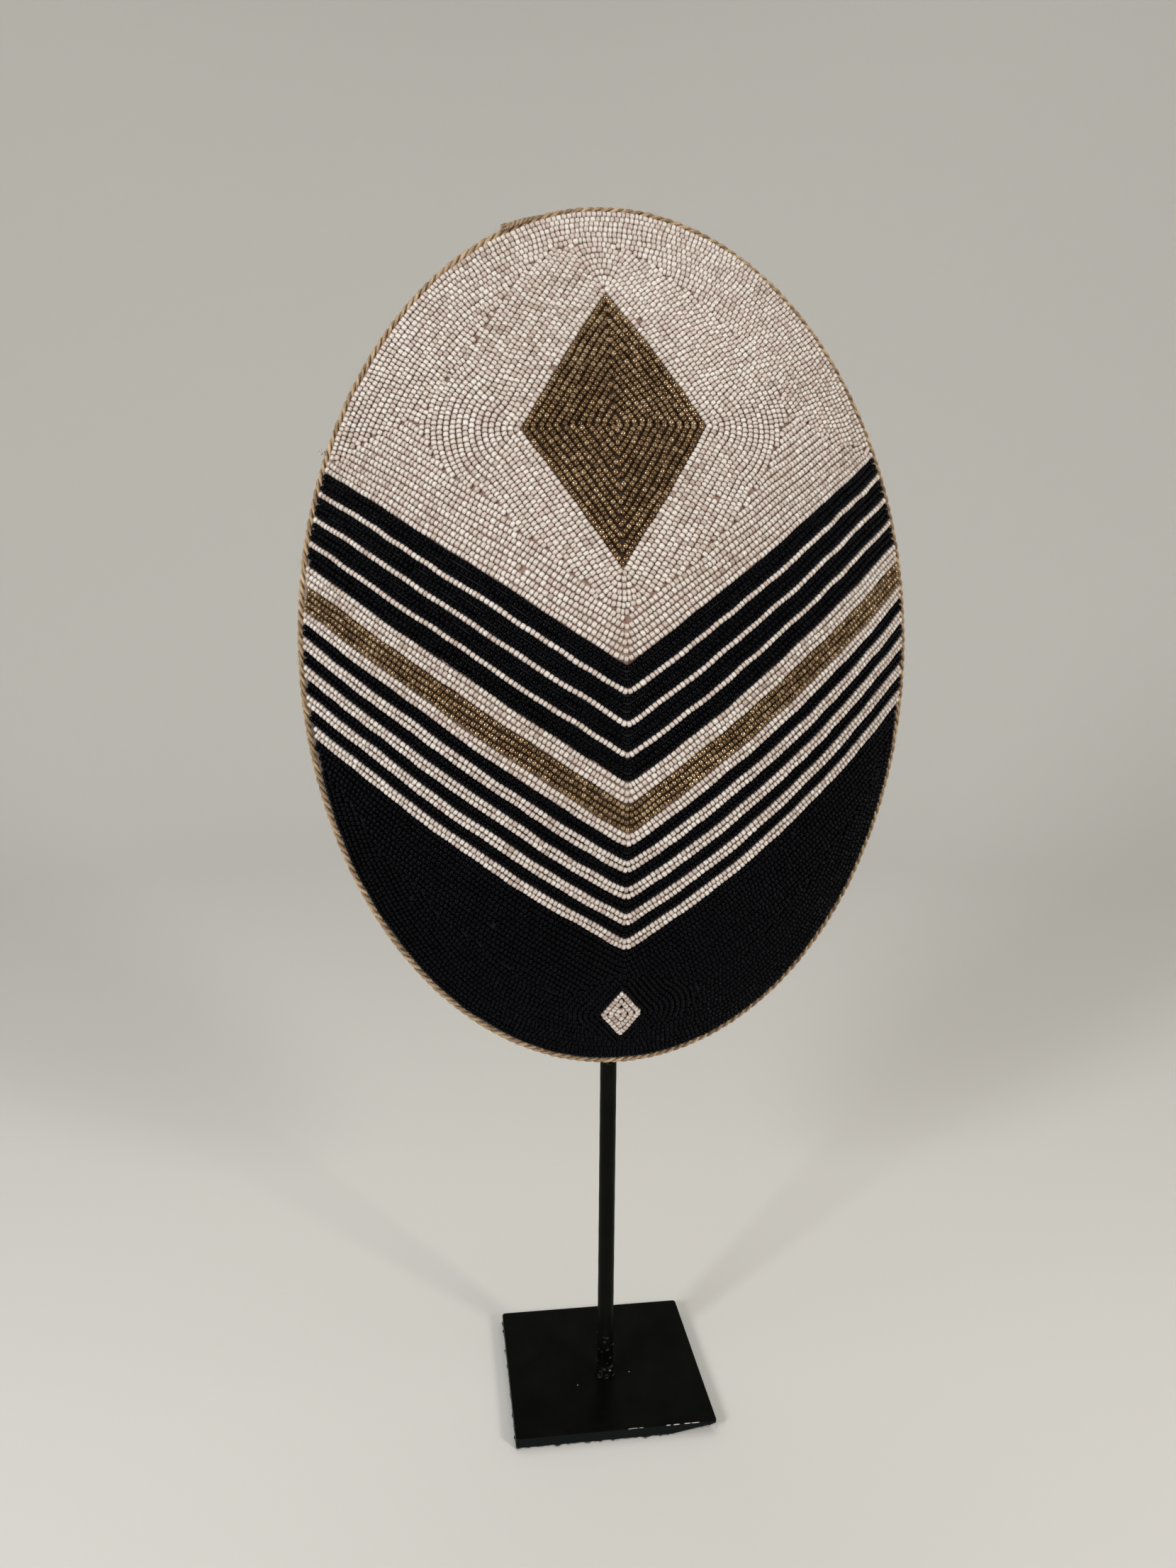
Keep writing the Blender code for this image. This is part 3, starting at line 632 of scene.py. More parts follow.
chosen = np.flatnonzero((fixed | may_fill) & (edge > EDGE_CLEAR))
first_time = string_of < len(families)
turn_of = np.select([fixed & first_time, owned & first_time, may_fill & first_time], [0, 1, 2], 3)
chosen = chosen[first_time[chosen] | ~fixed[chosen] | in_lozenge[chosen]]
chosen = chosen[np.argsort(turn_of[chosen], kind="stable")]


def search_tree(points):
    """A tree that finds the points near a place."""
    tree = KDTree(len(points))
    for index, point in enumerate(points):
        tree.insert(point, index)
    tree.balance()
    return tree


def uncrowded(points, strings, closest):
    """Marks the points that no earlier kept point of another string comes closer to than this."""
    tree = search_tree(points)
    kept = np.ones(len(points), bool)
    for index, point in enumerate(points):
        if kept[index]:
            near = [other for _, other, _ in tree.find_range(point, closest) if other > index]
            kept[[other for other in near if strings[other] != strings[index]]] = False
    return kept


chosen = chosen[uncrowded(laid[chosen], string_of[chosen], CROWDED)]
chosen = chosen[fixed[chosen] | (rng.random(len(chosen)) > MISSING_SHARE)]
print("beads kept:", len(chosen))

# %% [markdown]
# Along the seams beads of two rows still share some room, while small holes are left beside them. On
# the real shield the beads there are nudged about until they fit. So each pair that sits too close
# is pushed apart a little, many times over, and every moved bead goes back onto the dome. Bands and
# lozenges hold still.

# %% Settle the beads along the seams
ROOM = 0.0029
SETTLING_REACH = 1.3
SETTLING_STEPS = 16
SETTLING_PUSH = 0.25


def neighbours(points, movable, reach):
    """Pairs of point numbers within reach of each other, the first of each pair movable."""
    tree = search_tree(points)
    pairs = [
        (index, other)
        for index in np.flatnonzero(movable)
        for _, other, _ in tree.find_range(points[index], reach)
        if other != index
    ]
    return np.array(pairs).T


def settle(points, movable, strings, lengths):
    """Moves pairs apart: those of one string by their lengths, others until they have room."""
    first, second = neighbours(points, movable, SETTLING_REACH * ROOM)
    together = strings[first] == strings[second]
    wanted = np.where(together, (lengths[first] + lengths[second]) / 2, ROOM)
    settled = points.copy()
    for _ in range(SETTLING_STEPS):
        apart = settled[first] - settled[second]
        distance = np.linalg.norm(apart, axis=1)
        push = SETTLING_PUSH * np.maximum(wanted - distance, 0.0) / np.maximum(distance, 1e-6)
        np.add.at(settled, first, push[:, None] * apart)
        settled[:, 1] = dome_depth(np.hypot(settled[:, 0] / SHELL_X, settled[:, 2] / SHELL_Z))
    return settled


movable = in_field[chosen] & (edge[chosen] > PITCH)
settled = settle(laid[chosen], movable, string_of[chosen], lengths[chosen])
moved = np.linalg.norm(settled - laid[chosen], axis=1)
laid[chosen] = settled
print(f"moved by more than 0.3 mm: {(moved > 0.0003).sum()}, at most {1000 * moved.max():.2f} mm")

# %% [markdown]
# One bead is a barrel of four rings with a flat face over each end: 28 points, 23 faces. Smooth shading
# rounds it, so seven sides are enough. All beads of a piece are made at once: the template's points
# times three direction vectors for each bead, by broadcasting. Each bead also gets a cell of its own
# on a flat map, so that its colour survives a bake through the map.

# %% One bead, many times
BEAD_SIDES = 7
BEAD_RINGS = ((-1.0, 0.66), (-0.58, 1.0), (0.58, 1.0), (1.0, 0.66))
MAP_CELL_FILL = 0.86
TIP_SPREAD = 0.045
SKEW_SPREAD = 0.035
THICKNESS_MEAN, THICKNESS_SPREAD = 0.99, 0.035
THICKNESS_LIMITS = (0.9, 1.06)
HALF_LENGTH = 0.48
LIFT_SPREAD = 0.00007


def bead_template():
    """Rings round an axis: x and z across it, y along it, all from -1 to 1, and how dark each point is."""
    turn = angles_round(BEAD_SIDES)
    rings = [
        np.stack((radius * np.cos(turn), np.full(BEAD_SIDES, height), radius * np.sin(turn)), -1)
        for height, radius in BEAD_RINGS
    ]
    sides = grid_faces(len(BEAD_RINGS), BEAD_SIDES, close_columns=True)[:, ::-1]
    around = np.arange(BEAD_SIDES)
    caps = np.stack((around, around[::-1] + (len(BEAD_RINGS) - 1) * BEAD_SIDES))
    # The end rings carry the painted shade between neighbouring beads, with their glue and dust.
    dark = np.repeat([1.0, 0.0, 0.0, 1.0], BEAD_SIDES)
    return np.concatenate(rings), sides, caps, dark


def bead_map_cell():
    """Where each corner of a bead lies in its own cell, from 0 to 1: its sides are a strip over the
    cell's middle half, and its round ends lie above and below that."""
    column = np.arange(BEAD_SIDES)
    strips = []
    for ring in range(len(BEAD_RINGS) - 1):
        low, high = 0.25 + ring / 6, 0.25 + (ring + 1) / 6
        left, right = column / BEAD_SIDES, (column + 1) / BEAD_SIDES
        corners = ((left, low), (right, low), (right, high), (left, high))
        strips.append(np.stack([np.stack((x, np.full(BEAD_SIDES, y)), -1) for x, y in corners], 1))
    sides = np.concatenate(strips)[:, ::-1]
    turn = angles_round(BEAD_SIDES)
    low_end = np.stack((0.5 + 0.1 * np.cos(turn), 0.11 - 0.1 * np.sin(turn)), -1)
    high_end = np.stack((0.5 + 0.1 * np.cos(turn[::-1]), 0.89 - 0.1 * np.sin(turn[::-1])), -1)
    return sides, np.stack((low_end, high_end))


TEMPLATE, SIDE_FACES, CAP_FACES, DARK = bead_template()
SIDE_CELL, CAP_CELL = bead_map_cell()


def unit(vectors):
    """Vectors over their own lengths."""
    return vectors / np.linalg.norm(vectors, axis=-1, keepdims=True)


def make_beads(name, which, material):
    """All beads of a piece: centre + x * across + y * along + z * out, for each template point."""
    count = len(which)
    out = unit(dome_normal(laid[which]) + rng.normal(0, TIP_SPREAD, (count, 3)))
    axis = along[which] - (along[which] * out).sum(1, keepdims=True) * out
    axis = unit(unit(axis) + rng.normal(0, SKEW_SPREAD, (count, 3)))
    across = np.cross(axis, out)
    thickness = rng.normal(THICKNESS_MEAN, THICKNESS_SPREAD, (count, 1, 1))
    radius = BEAD_RADIUS * np.clip(thickness, *THICKNESS_LIMITS)
    length = HALF_LENGTH * lengths[which][:, None, None]
    spin = rng.uniform(0, 2 * math.pi, (count, 1))
    x = TEMPLATE[:, 0] * np.cos(spin) - TEMPLATE[:, 2] * np.sin(spin)
    z = TEMPLATE[:, 0] * np.sin(spin) + TEMPLATE[:, 2] * np.cos(spin)
    y = np.broadcast_to(TEMPLATE[:, 1], x.shape)
    lift = FIT_GAP + BEAD_RADIUS + rng.normal(0, LIFT_SPREAD, (count, 1))
    centres = laid[which] + dome_normal(laid[which]) * lift
    points = (
        centres[:, None, :]
        + radius * x[..., None] * across[:, None, :]
        + length * y[..., None] * axis[:, None, :]
        + radius * z[..., None] * out[:, None, :]
    )
    first = (np.arange(count) * len(TEMPLATE))[:, None, None]
    sides = (first + SIDE_FACES).reshape(-1, 4)
    caps = (first + CAP_FACES).reshape(-1, BEAD_SIDES)
    grid = math.ceil(math.sqrt(count))
    cell = np.stack((np.arange(count) % grid, np.arange(count) // grid), -1)[:, None, None, :]
    bake_map = [
        ((cell + 0.5 + (part - 0.5) * MAP_CELL_FILL) / grid).reshape(-1, part.shape[1], 2)
        for part in (SIDE_CELL, CAP_CELL)
    ]
    slow = 0.5 + 65.0 * wander(flat[which], 2.0)
    tint = np.clip(0.8 * rng.random(count) + 0.2 * slow, 0.0, 1.0)
    attributes = {
        "tint": np.repeat(tint, len(TEMPLATE)),
        "dark": np.tile(DARK, count),
    }
    placed = stand_up(points.reshape(-1, 3))
    return make_piece(name, placed, [sides, caps], material, attributes, bake_map)


print("faces in one bead:", len(SIDE_FACES) + len(CAP_FACES))

# %% [markdown]
# The ivory beads are opaque glass, uneven from bead to bead: mostly cream, some beige or pinkish, a few
# brown. A ramp turns each bead's own random number into that range, and each bead's ends are darkened:
# painted shade between neighbouring beads, with the glue and dust that sit there. Black beads are nearly
# one colour, and bronze ones are mostly metallic.


# %% Glass of the beads
def bead_glass(name, stops, end_colour, end_share, blush=0.0, **finish):
    """Glass whose colour runs through the stops from bead to bead, darker at its ends as painted shade.

    blush is how far some of the beads turn pinkish. The finish holds plain values for the shader.
    """
    material, shader, start = new_material(name)
    tint = start.attribute("tint")
    colour = tint.ramp(*stops)
    if blush:
        second = start.math("FRACT", tint * 37.0)
        colour = (second.clamp(0.75, 0.98) * blush).mix(colour, (0.46, 0.34, 0.31, 1.0))
    # Painted shade: each bead's ends turn towards end_colour, for the shade between beads, with glue and
    # dust there.
    shade_and_glue = start.attribute("dark") * end_share
    set_shader(shader, {"Base Color": shade_and_glue.mix(colour, (*end_colour, 1.0)), **finish})
    return material


ivory_glass = bead_glass(
    "ivory_bead_glass",
    (
        (0.0, (0.09, 0.048, 0.033)),
        (0.008, (0.22, 0.158, 0.121)),
        (0.03, (0.34, 0.268, 0.222)),
        (0.22, (0.458, 0.393, 0.341)),
        (0.60, (0.542, 0.483, 0.429)),
        (1.0, (0.625, 0.580, 0.530)),
    ),
    (0.20, 0.128, 0.102),
    0.66,
    0.5,
    Roughness=0.24,
)
black_glass = bead_glass(
    "black_bead_glass",
    ((0.0, (0.0008, 0.0008, 0.0010)), (1.0, (0.0022, 0.0022, 0.0032))),
    (0.0004, 0.0004, 0.0004),
    0.8,
    **{"Roughness": 0.08, "Specular IOR Level": 0.055, "Specular Tint": (0.85, 0.89, 1.0)},
)
bronze_glass = bead_glass(
    "bronze_bead_glass",
    ((0.0, (0.090, 0.050, 0.022)), (0.5, (0.200, 0.125, 0.062)), (1.0, (0.395, 0.277, 0.166))),
    (0.032, 0.016, 0.006),
    0.5,
    Roughness=0.13,
    Metallic=0.70,
)
print("bead materials ready")

# %% [markdown]
# Each field or band of colour becomes one piece, or two where its rows are black and ivory by turns.
# The big fields are parted by their families of rows, which keeps every piece under 200,000 triangles.

# %% Beads of every field and band
kept_family, kept_row = family_of[chosen], row_numbers[chosen]
kept_above, kept_below = above[chosen], below[chosen]
is_band = (kept_family == "chevron") & in_band[chosen]
row_colour = np.array(list(ROW_COLOURS))[np.clip(kept_row, 0, ROW_COUNT - 1)]
GLASS = {
    "I": ("ivory", ivory_glass, "ivory_beads"),
    "B": ("black", black_glass, "black_beads"),
    "M": ("bronze", bronze_glass, "bronze_beads"),
}

bead_pieces = []
first_row = 0
for band, colours in BANDS:
    in_rows = is_band & (kept_row >= first_row) & (kept_row < first_row + len(colours))
    for letter in sorted(set(colours)):
        colour, glass, slot = GLASS[letter]
        chosen_beads = chosen[in_rows & (row_colour == letter)]
        piece = make_beads(f"{band}_{colour}_rows", chosen_beads, glass)
        bead_pieces.append(dress(piece, slot, band))
    first_row += len(colours)

for node, letter, side, families_of_node in (
    ("ivory_field", "I", kept_above, ("chevron", "upper_round", "rim")),
    ("black_point", "B", kept_below, ("chevron", "lower_round", "rim")),
):
    _, glass, slot = GLASS[letter]
    for family in families_of_node:
        chosen_beads = chosen[side & ~is_band & (kept_family == family)]
        piece = make_beads(f"{node}_{family}_rows", chosen_beads, glass)
        bead_pieces.append(dress(piece, slot, node))

for node, letter, family in (
    ("bronze_lozenge", "M", "upper_inside"),
    ("ivory_lozenge", "I", "lower_inside"),
):
    _, glass, slot = GLASS[letter]
    piece = make_beads(f"{node}_beads", chosen[kept_family == family], glass)
    bead_pieces.append(dress(piece, slot, node))
print("bead pieces:", len(bead_pieces))

# %% [markdown]
# Behind the beads is a carved wooden shell with glue on its front. It is one surface: out over the
# dome, down its straight collar, across the rim and back over the inside, each ring the same number
# of points. Rings joined into quads with a face over each end make any such closed skin, and a turned
# piece is the same thing.


# %% Closed skins from rings
def skin_faces(rings, sides, first=0, inside_out=False):
    """Quads between rings of points and one face over each end, outwards where the rings run
    the way a right hand's thumb points and each ring the way its fingers curl."""
    quads = first + grid_faces(rings, sides, close_columns=True)
    start_cap = first + np.arange(sides)[None, ::-1]
    end_cap = first + (rings - 1) * sides + np.arange(sides)[None, :]
    faces = [quads, start_cap, end_cap]
    return [part[:, ::-1] for part in faces] if inside_out else faces


def turned(radii, heights, sides):
    """Rings round the z axis: radii is (rings,) or (rings, sides), heights is (rings,)."""
    turn = angles_round(sides)
    radii = np.broadcast_to(np.reshape(radii, (len(heights), -1)), (len(heights), sides))
    heights = np.broadcast_to(np.reshape(heights, (-1, 1)), radii.shape)
    return np.stack((radii * np.cos(turn), radii * np.sin(turn), heights), -1)


print("faces of a skin of 4 rings by 7:", sum(len(part) for part in skin_faces(4, 7)))

# %% [markdown]
# The shell's rings start and end a little way off its middle, because a face closes each end. The
# inside carries shallow gouge marks. One value on each point says where the glue is, and another how
# dark the beads over it are.

# %% The carved shell
SHELL_STEPS = 192
FRONT_STEPS = 44
BACK_STEPS = 24
FIRST_SHARE = 0.004
COLLAR_SHARES = (0.3, 0.7, 0.93)
RIM_BEVEL = 0.0005
RIM_DROP = 0.0006
GOUGE = 0.0006
GLUE_BED = 0.0014


def shell_profile(angle):
    """Distance from the middle and depth, from the dome's front middle round to the back middle.

    The inside is the outside moved in by the wall along the slope, and never nearer the edge
    than the wall's thickness.
    """
    reach = flat_reach(angle)[:, None]
    share = np.linspace(FIRST_SHARE, 1.0, FRONT_STEPS)[None, :]
    outer = np.stack((reach * share, dome_depth(share) + 0 * reach), -1)
    collar_depth = RIM_FRONT + np.array([COLLAR_SHARES]) * (RIM_BACK - RIM_FRONT)
    collar = np.stack((reach + 0 * collar_depth, collar_depth + 0 * reach), -1)
    rim_inset = np.array([[RIM_BEVEL, 0.5 * WALL, WALL - RIM_BEVEL, WALL]])
    rim_depth = RIM_BACK - np.array([[0.0, 0.0, 0.0, RIM_DROP]])
    rim = np.stack((reach - rim_inset, rim_depth + 0 * reach), -1)
    share = np.linspace(FIRST_SHARE, 1.0, BACK_STEPS)[None, :]
    slope = np.arctan(2 * DOME_RISE * share / reach)
    inner_radius = np.minimum(reach * share - WALL * np.sin(slope), reach - WALL)
    inner = np.stack((inner_radius, dome_depth(share) + WALL * np.cos(slope)), -1)[:, ::-1]
    return np.concatenate((outer, collar, rim, inner), axis=1)


shell_angle = angles_round(SHELL_STEPS)
profile = np.swapaxes(shell_profile(shell_angle), 0, 1)
shell_points = np.stack(
    (profile[..., 0] * np.cos(shell_angle), profile[..., 1], profile[..., 0] * np.sin(shell_angle)), -1
)
ring_count = len(shell_points)
ring_number = np.arange(ring_count)[:, None]
inside_rings = ring_number >= ring_count - BACK_STEPS
x, z = shell_points[..., 0], shell_points[..., 2]
gouges = np.sin(420 * x + 3 * np.sin(60 * z)) * np.sin(190 * z + 2 * np.sin(75 * x))
shell_points[..., 1] -= GOUGE * (gouges + 1) / 2 * inside_rings
shell_points[..., 1] -= GLUE_BED * (ring_number < FRONT_STEPS)
glue = np.broadcast_to(ring_number < FRONT_STEPS + 2, x.shape).astype(float)
front_share = np.linspace(FIRST_SHARE, 1.0, FRONT_STEPS)[:, None]


def beads_above(angle, distance):
    """1 under the bands with black rows and under the black field with its lozenge, 0.5 under bronze
    beads, and 0 elsewhere."""
    spot = np.stack((distance * np.cos(angle), distance * np.sin(angle)), -1)
    rows_there = rows_below(spot.reshape(-1, 2)).reshape(distance.shape)
    in_lozenge_there = outside_lozenge(spot.reshape(-1, 2), *UPPER_LOZENGE).reshape(distance.shape) < 0
    first_bronze, last_bronze = ROW_COLOURS.index("M"), ROW_COLOURS.rindex("M") + 1
    in_top_band = (rows_there > 0) & (rows_there < len(BANDS[0][1]))
    black = in_top_band | (rows_there > ROW_COUNT - len(BANDS[-1][1]))
    bronze = (rows_there > first_bronze) & (rows_there < last_bronze) | in_lozenge_there
    return np.maximum(black, 0.5 * bronze)


# The glue bed is made darker under the black and the bronze beads.
sooty = np.zeros(glue.shape)
sooty[:FRONT_STEPS] = beads_above(shell_angle, arc_length(flat_reach(shell_angle), front_share))


def carved_wood(name, grain_stretch, glued=False):
    """Plain brown wood: long grain from noise stretched along one axis, darker where pores gather.

    With glued, the values glue and sooty on the mesh lay a smear of glue over it and darken that.
    """
    material, shader, start = new_material(name)
    grain = start.noise(160.0, 5.0, grain_stretch)
    pores = start.noise(900.0, 3.0, grain_stretch)
    stain = start.noise(9.0, 3.0)
    wood = (grain * 0.75 + stain * 0.25).ramp(
        (0.30, (0.155, 0.082, 0.040)), (0.52, (0.300, 0.180, 0.097)), (0.72, (0.430, 0.285, 0.165))
    )
    colour = pores.clamp(0.30, 0.42).mix((0.085, 0.045, 0.025, 1.0), wood)
    if glued:
        smear = start.noise(260.0, 3.0).ramp((0.35, (0.19, 0.115, 0.090)), (0.7, (0.34, 0.230, 0.188)))
        sooty = start.attribute("sooty")
        dark = sooty.ramp((0.5, (0.026, 0.015, 0.007)), (1.0, (0.006, 0.005, 0.005)))
        smear = sooty.clamp(0.0, 0.5).mix(smear, dark)
        colour = start.attribute("glue").mix(colour, smear)
    height = grain * 0.6 + pores * 0.4
    finish = {"Base Color": colour, "Roughness": 0.62 + grain * 0.2, "Specular IOR Level": 0.2}
    set_shader(shader, {**finish, "Normal": height.bump(0.0004, 0.5)})
    return material


shell = make_piece(
    "carved_shell",
    stand_up(shell_points).reshape(-1, 3),
    skin_faces(ring_count, SHELL_STEPS, inside_out=True),
    carved_wood("shell_wood", (1.0, 1.0, 0.08), glued=True),
    {"glue": glue.ravel(), "sooty": sooty.ravel()},
)
dress(shell, "wood", "shield_shell")

# %% [markdown]
# The edge is trimmed with jute cord of three plies. A ply is a round tube carried along a helix, and
# the helix winds round the shield's edge. Three equal circles that touch, inside a circle of radius R,
# have the radius R / (1 + 2 / sqrt(3)). Jute is dull and hairy, so its fibres come from fine noise
# with a bump to match, and from real hairs further on. Along its inner side the cord is smeared with
# the glue that holds it, pinkish and paler, so each point also knows how far in it lies.

# %% Tubes along a path
PLIES = 3
STEPS_PER_TURN = 10
PLY_SIDES = 8
PLY_SHARE = 1 / (1 + 2 / math.sqrt(3))
GROOVE_START, GROOVE_SPAN = 0.97, 0.25
CORD_FORWARD = 0.0007
FRONT = np.array([0.0, -1.0, 0.0])


def tube_rings(middle, lead, ring_radius, sides, closed):
    """Rings of a tube square to its path: cos(a) * e1 + sin(a) * e2 with e2 = direction x e1.

    lead gives e1's rough direction at each point. ring_radius is (n, 1) or (n, sides).
    """
    if closed:
        direction = unit(np.roll(middle, -1, axis=0) - np.roll(middle, 1, axis=0))
    else:
        direction = unit(np.gradient(middle, axis=0))
    e1 = unit(lead - (lead * direction).sum(1, keepdims=True) * direction)
    e2 = np.cross(direction, e1)
    around = angles_round(sides)
    ring = np.cos(around)[:, None] * e1[:, None] + np.sin(around)[:, None] * e2[:, None]
    return middle[:, None] + ring * ring_radius[..., None]


def twisted_plies(place, away, radius, closed):
    """The rings of three plies laid round a path, each on its own helix inside the given radius."""
    step = np.arange(len(place))
    plies = []
    for ply in range(PLIES):
        phase = 2 * math.pi * (step / STEPS_PER_TURN + ply / PLIES)
        lead = np.cos(phase)[:, None] * away + np.sin(phase)[:, None] * FRONT
        middle = place + (radius * (1 - PLY_SHARE))[:, None] * lead
        swell = 0.95 + 0.03 * np.sin(step * 0.37 + ply)[:, None]
        lumps = np.minimum(swell + 0.035 * rng.normal(size=(len(place), PLY_SIDES)), 1.0)
        ply_radii = (radius * PLY_SHARE)[:, None] * lumps
        plies.append(tube_rings(middle, lead, ply_radii, PLY_SIDES, closed))
    return np.stack(plies)


def grooves(plies, place, radius):
    """How deep between the plies each point lies, from 0 at 97% of the cord's radius to 1 at 72%."""
    from_middle = np.linalg.norm(plies - place[:, None], axis=-1) / radius[:, None]
    return np.clip((GROOVE_START - from_middle) / GROOVE_SPAN, 0.0, 1.0)


def edge_path(angle, outwards=0.0, forwards=0.0):
    """The cord's middle line at angles round the shield, moved out and forwards, and the way out there."""
    a, b = HALF_WIDTH - CORD_RADIUS, HALF_HEIGHT - CORD_RADIUS
    depth = np.full(len(angle), RIM_BACK - CORD_RADIUS - CORD_FORWARD)
    away = unit(np.stack((np.cos(angle) / a, 0 * angle, np.sin(angle) / b), -1))
    place = np.stack((a * np.cos(angle), depth, b * np.sin(angle)), -1)
    return place + outwards * away + forwards * FRONT, away


def yarn_values(plies, run):
    """Each point's length along the cord and the two waves of its angle round its ply, as attributes."""
    around = np.broadcast_to(angles_round(PLY_SIDES), plies.shape[:3])
    along_cord = np.broadcast_to(run[:, None], plies.shape[:3])
    return {"run": along_cord.ravel(), "round_x": np.cos(around).ravel(), "round_y": np.sin(around).ravel()}


def jute(name):
    """Tan fibre with a fine bump, darkened in the grooves between the plies as painted shade, turning to a
    smear of pale pinkish glue where its value says so.

    The fibre's streaks are noise in three values: the length along the cord, squeezed so that a streak
    is some millimetres long, and two that go round the ply.
    """
    material, shader, start = new_material(name)
    axes = {0: start.attribute("run") * 150.0, 1: start.attribute("round_x"), 2: start.attribute("round_y")}
    yarn_place = start.node("ShaderNodeCombineXYZ", None, axes)
    streaks = start.node("ShaderNodeTexNoise", None, {"Vector": yarn_place, "Scale": 1.7, "Detail": 3.0})
    fibres = start.noise(1500.0, 4.0) * 0.4 + streaks * 0.6
    patches = start.noise(55.0, 2.0)
    colour = (fibres * 0.7 + patches * 0.2 + start.attribute("tint") * 0.15).ramp(
        (0.40, (0.12, 0.070, 0.034)), (0.52, (0.32, 0.214, 0.118)), (0.64, (0.54, 0.395, 0.240))
    )
    # Painted shade: the grooves between the plies are darkened.
    depth = start.attribute("groove") * start.noise(170.0, 2.0).clamp(0.2, 0.75)
    colour = (depth * 0.9).mix(colour, (0.075, 0.045, 0.025, 1.0))
    glued = start.attribute("glue") * start.noise(330.0, 2.0).clamp(0.38, 0.55)
    colour = (glued * 0.6).mix(colour, (0.34, 0.235, 0.17, 1.0))
    set_shader(shader, {"Base Color": colour, "Roughness": 0.8, "Normal": fibres.bump(0.0003, 0.8)})
    return material


jute_fibre = jute("jute_fibre")
print("nodes in the jute:", len(jute_fibre.node_tree.nodes))

# %% [markdown]
# Even angles don't give even lengths round an ellipse. So the path is measured in fine steps and then
# cut evenly, into a whole number of turns of the twist.

# %% The cord round the edge
TWIST_LENGTH = 0.016
FINE_STEPS = 4001

fine_angle = np.linspace(0, 2 * math.pi, FINE_STEPS)
fine_path, _ = edge_path(fine_angle)
fine_run = run_of(np.linalg.norm(np.diff(fine_path, axis=0), axis=1))
cord_steps = round(fine_run[-1] / TWIST_LENGTH) * STEPS_PER_TURN
even_run = fine_run[-1] * np.arange(cord_steps) / cord_steps
cord_place, cord_away = edge_path(np.interp(even_run, fine_run, fine_angle))
cord_radii = np.full(cord_steps, CORD_RADIUS)
plies = twisted_plies(cord_place, cord_away, cord_radii, closed=True)
ply_points = cord_steps * PLY_SIDES
cord_faces = [ply * ply_points + grid_faces(cord_steps, PLY_SIDES, True, True) for ply in range(PLIES)]
inward = -((plies - cord_place[:, None]) * cord_away[:, None]).sum(-1) / CORD_RADIUS
ply_tint = 0.5 + 0.25 * np.sin(np.arange(cord_steps) * 0.05 + 2 * np.arange(PLIES)[:, None])
rim_cord = make_piece(
    "twisted_rim_cord",
    stand_up(plies).reshape(-1, 3),
    cord_faces,
    jute_fibre,
    {
        "tint": np.repeat(ply_tint.ravel(), PLY_SIDES),
        "glue": np.clip(2.2 * inward.ravel() - 0.2, 0, 1),
        # how deep between the plies, which the jute darkens as painted shade
        "groove": grooves(plies, cord_place, cord_radii).ravel(),
        **yarn_values(plies, even_run),
    },
)
dress(rim_cord, "cord", "rim_cord")

# %% [markdown]
# Between the cord and the last beads lies a fillet of the glue that holds them both, so that only the
# cord's outer part shows. It is darker where black beads end. A flat tube with an oval section whose
# width wavers follows the edge and costs few faces.

# %% The glue beside the cord
GLUE_STEPS = 480
GLUE_SIDES = 10
GLUE_INSET = 0.0022
GLUE_SUNK = 0.0014
GLUE_HALF_WIDTH = 0.0016
GLUE_HALF_DEPTH = 0.0013

glue_angle = angles_round(GLUE_STEPS)
glue_place, glue_away = edge_path(glue_angle, -GLUE_INSET, CORD_RADIUS - GLUE_SUNK)
glue_around = angles_round(GLUE_SIDES)
wavering = 1 + 0.07 * np.sin(31 * glue_angle) + 0.06 * np.sin(83 * glue_angle + 1.3)
glue_wide = (GLUE_HALF_WIDTH * wavering)[:, None] * np.cos(glue_around)
glue_deep = (GLUE_HALF_DEPTH * wavering[::-1])[:, None] * np.sin(glue_around)
glue_rings = glue_place[:, None] + glue_wide[..., None] * glue_away[:, None] - glue_deep[..., None] * FRONT

glue_smear, glue_shader, glue_start = new_material("dried_glue")
glue_patches = glue_start.noise(420.0, 3.0)
glue_colour = glue_patches.ramp((0.34, (0.20, 0.134, 0.086)), (0.66, (0.36, 0.256, 0.168)))
# Darker where the black beads end, as on the shell's glue bed.
glue_colour = (glue_start.attribute("sooty") * 0.8).mix(glue_colour, (0.020, 0.014, 0.009, 1.0))
glue_finish = {"Base Color": glue_colour, "Roughness": 0.5, "Normal": glue_patches.bump(0.0003, 0.5)}
set_shader(glue_shader, glue_finish)
glue_polar = np.arctan2(glue_place[:, 2], glue_place[:, 0])
glue_darkness = beads_above(glue_polar, np.interp(glue_polar, edge_angles, edge_radius))
edge_glue = make_piece(
    "edge_glue",
    stand_up(glue_rings).reshape(-1, 3),
    [grid_faces(GLUE_STEPS, GLUE_SIDES, True, True)],
    glue_smear,
    {"sooty": np.repeat(glue_darkness, GLUE_SIDES)},
)
dress(edge_glue, "cord", "rim_cord")

# %% [markdown]
# At the upper left the cord's second end lies over the first, pressed flat, and stops in a stiff little
# tuft. It is the same three plies on a short path whose radius grows from where it leaves the cord,
# and every point is then moved towards the path along the way it lies off the cord.

# %% The cord's end
CORD_END_DIAMETER = 0.0042
CORD_END_TAPER = 0.35
CORD_END_ANGLES = (math.radians(99.5), math.radians(107.2))
CORD_END_TURN = math.radians(50)
CORD_END_PRESSED = 0.35

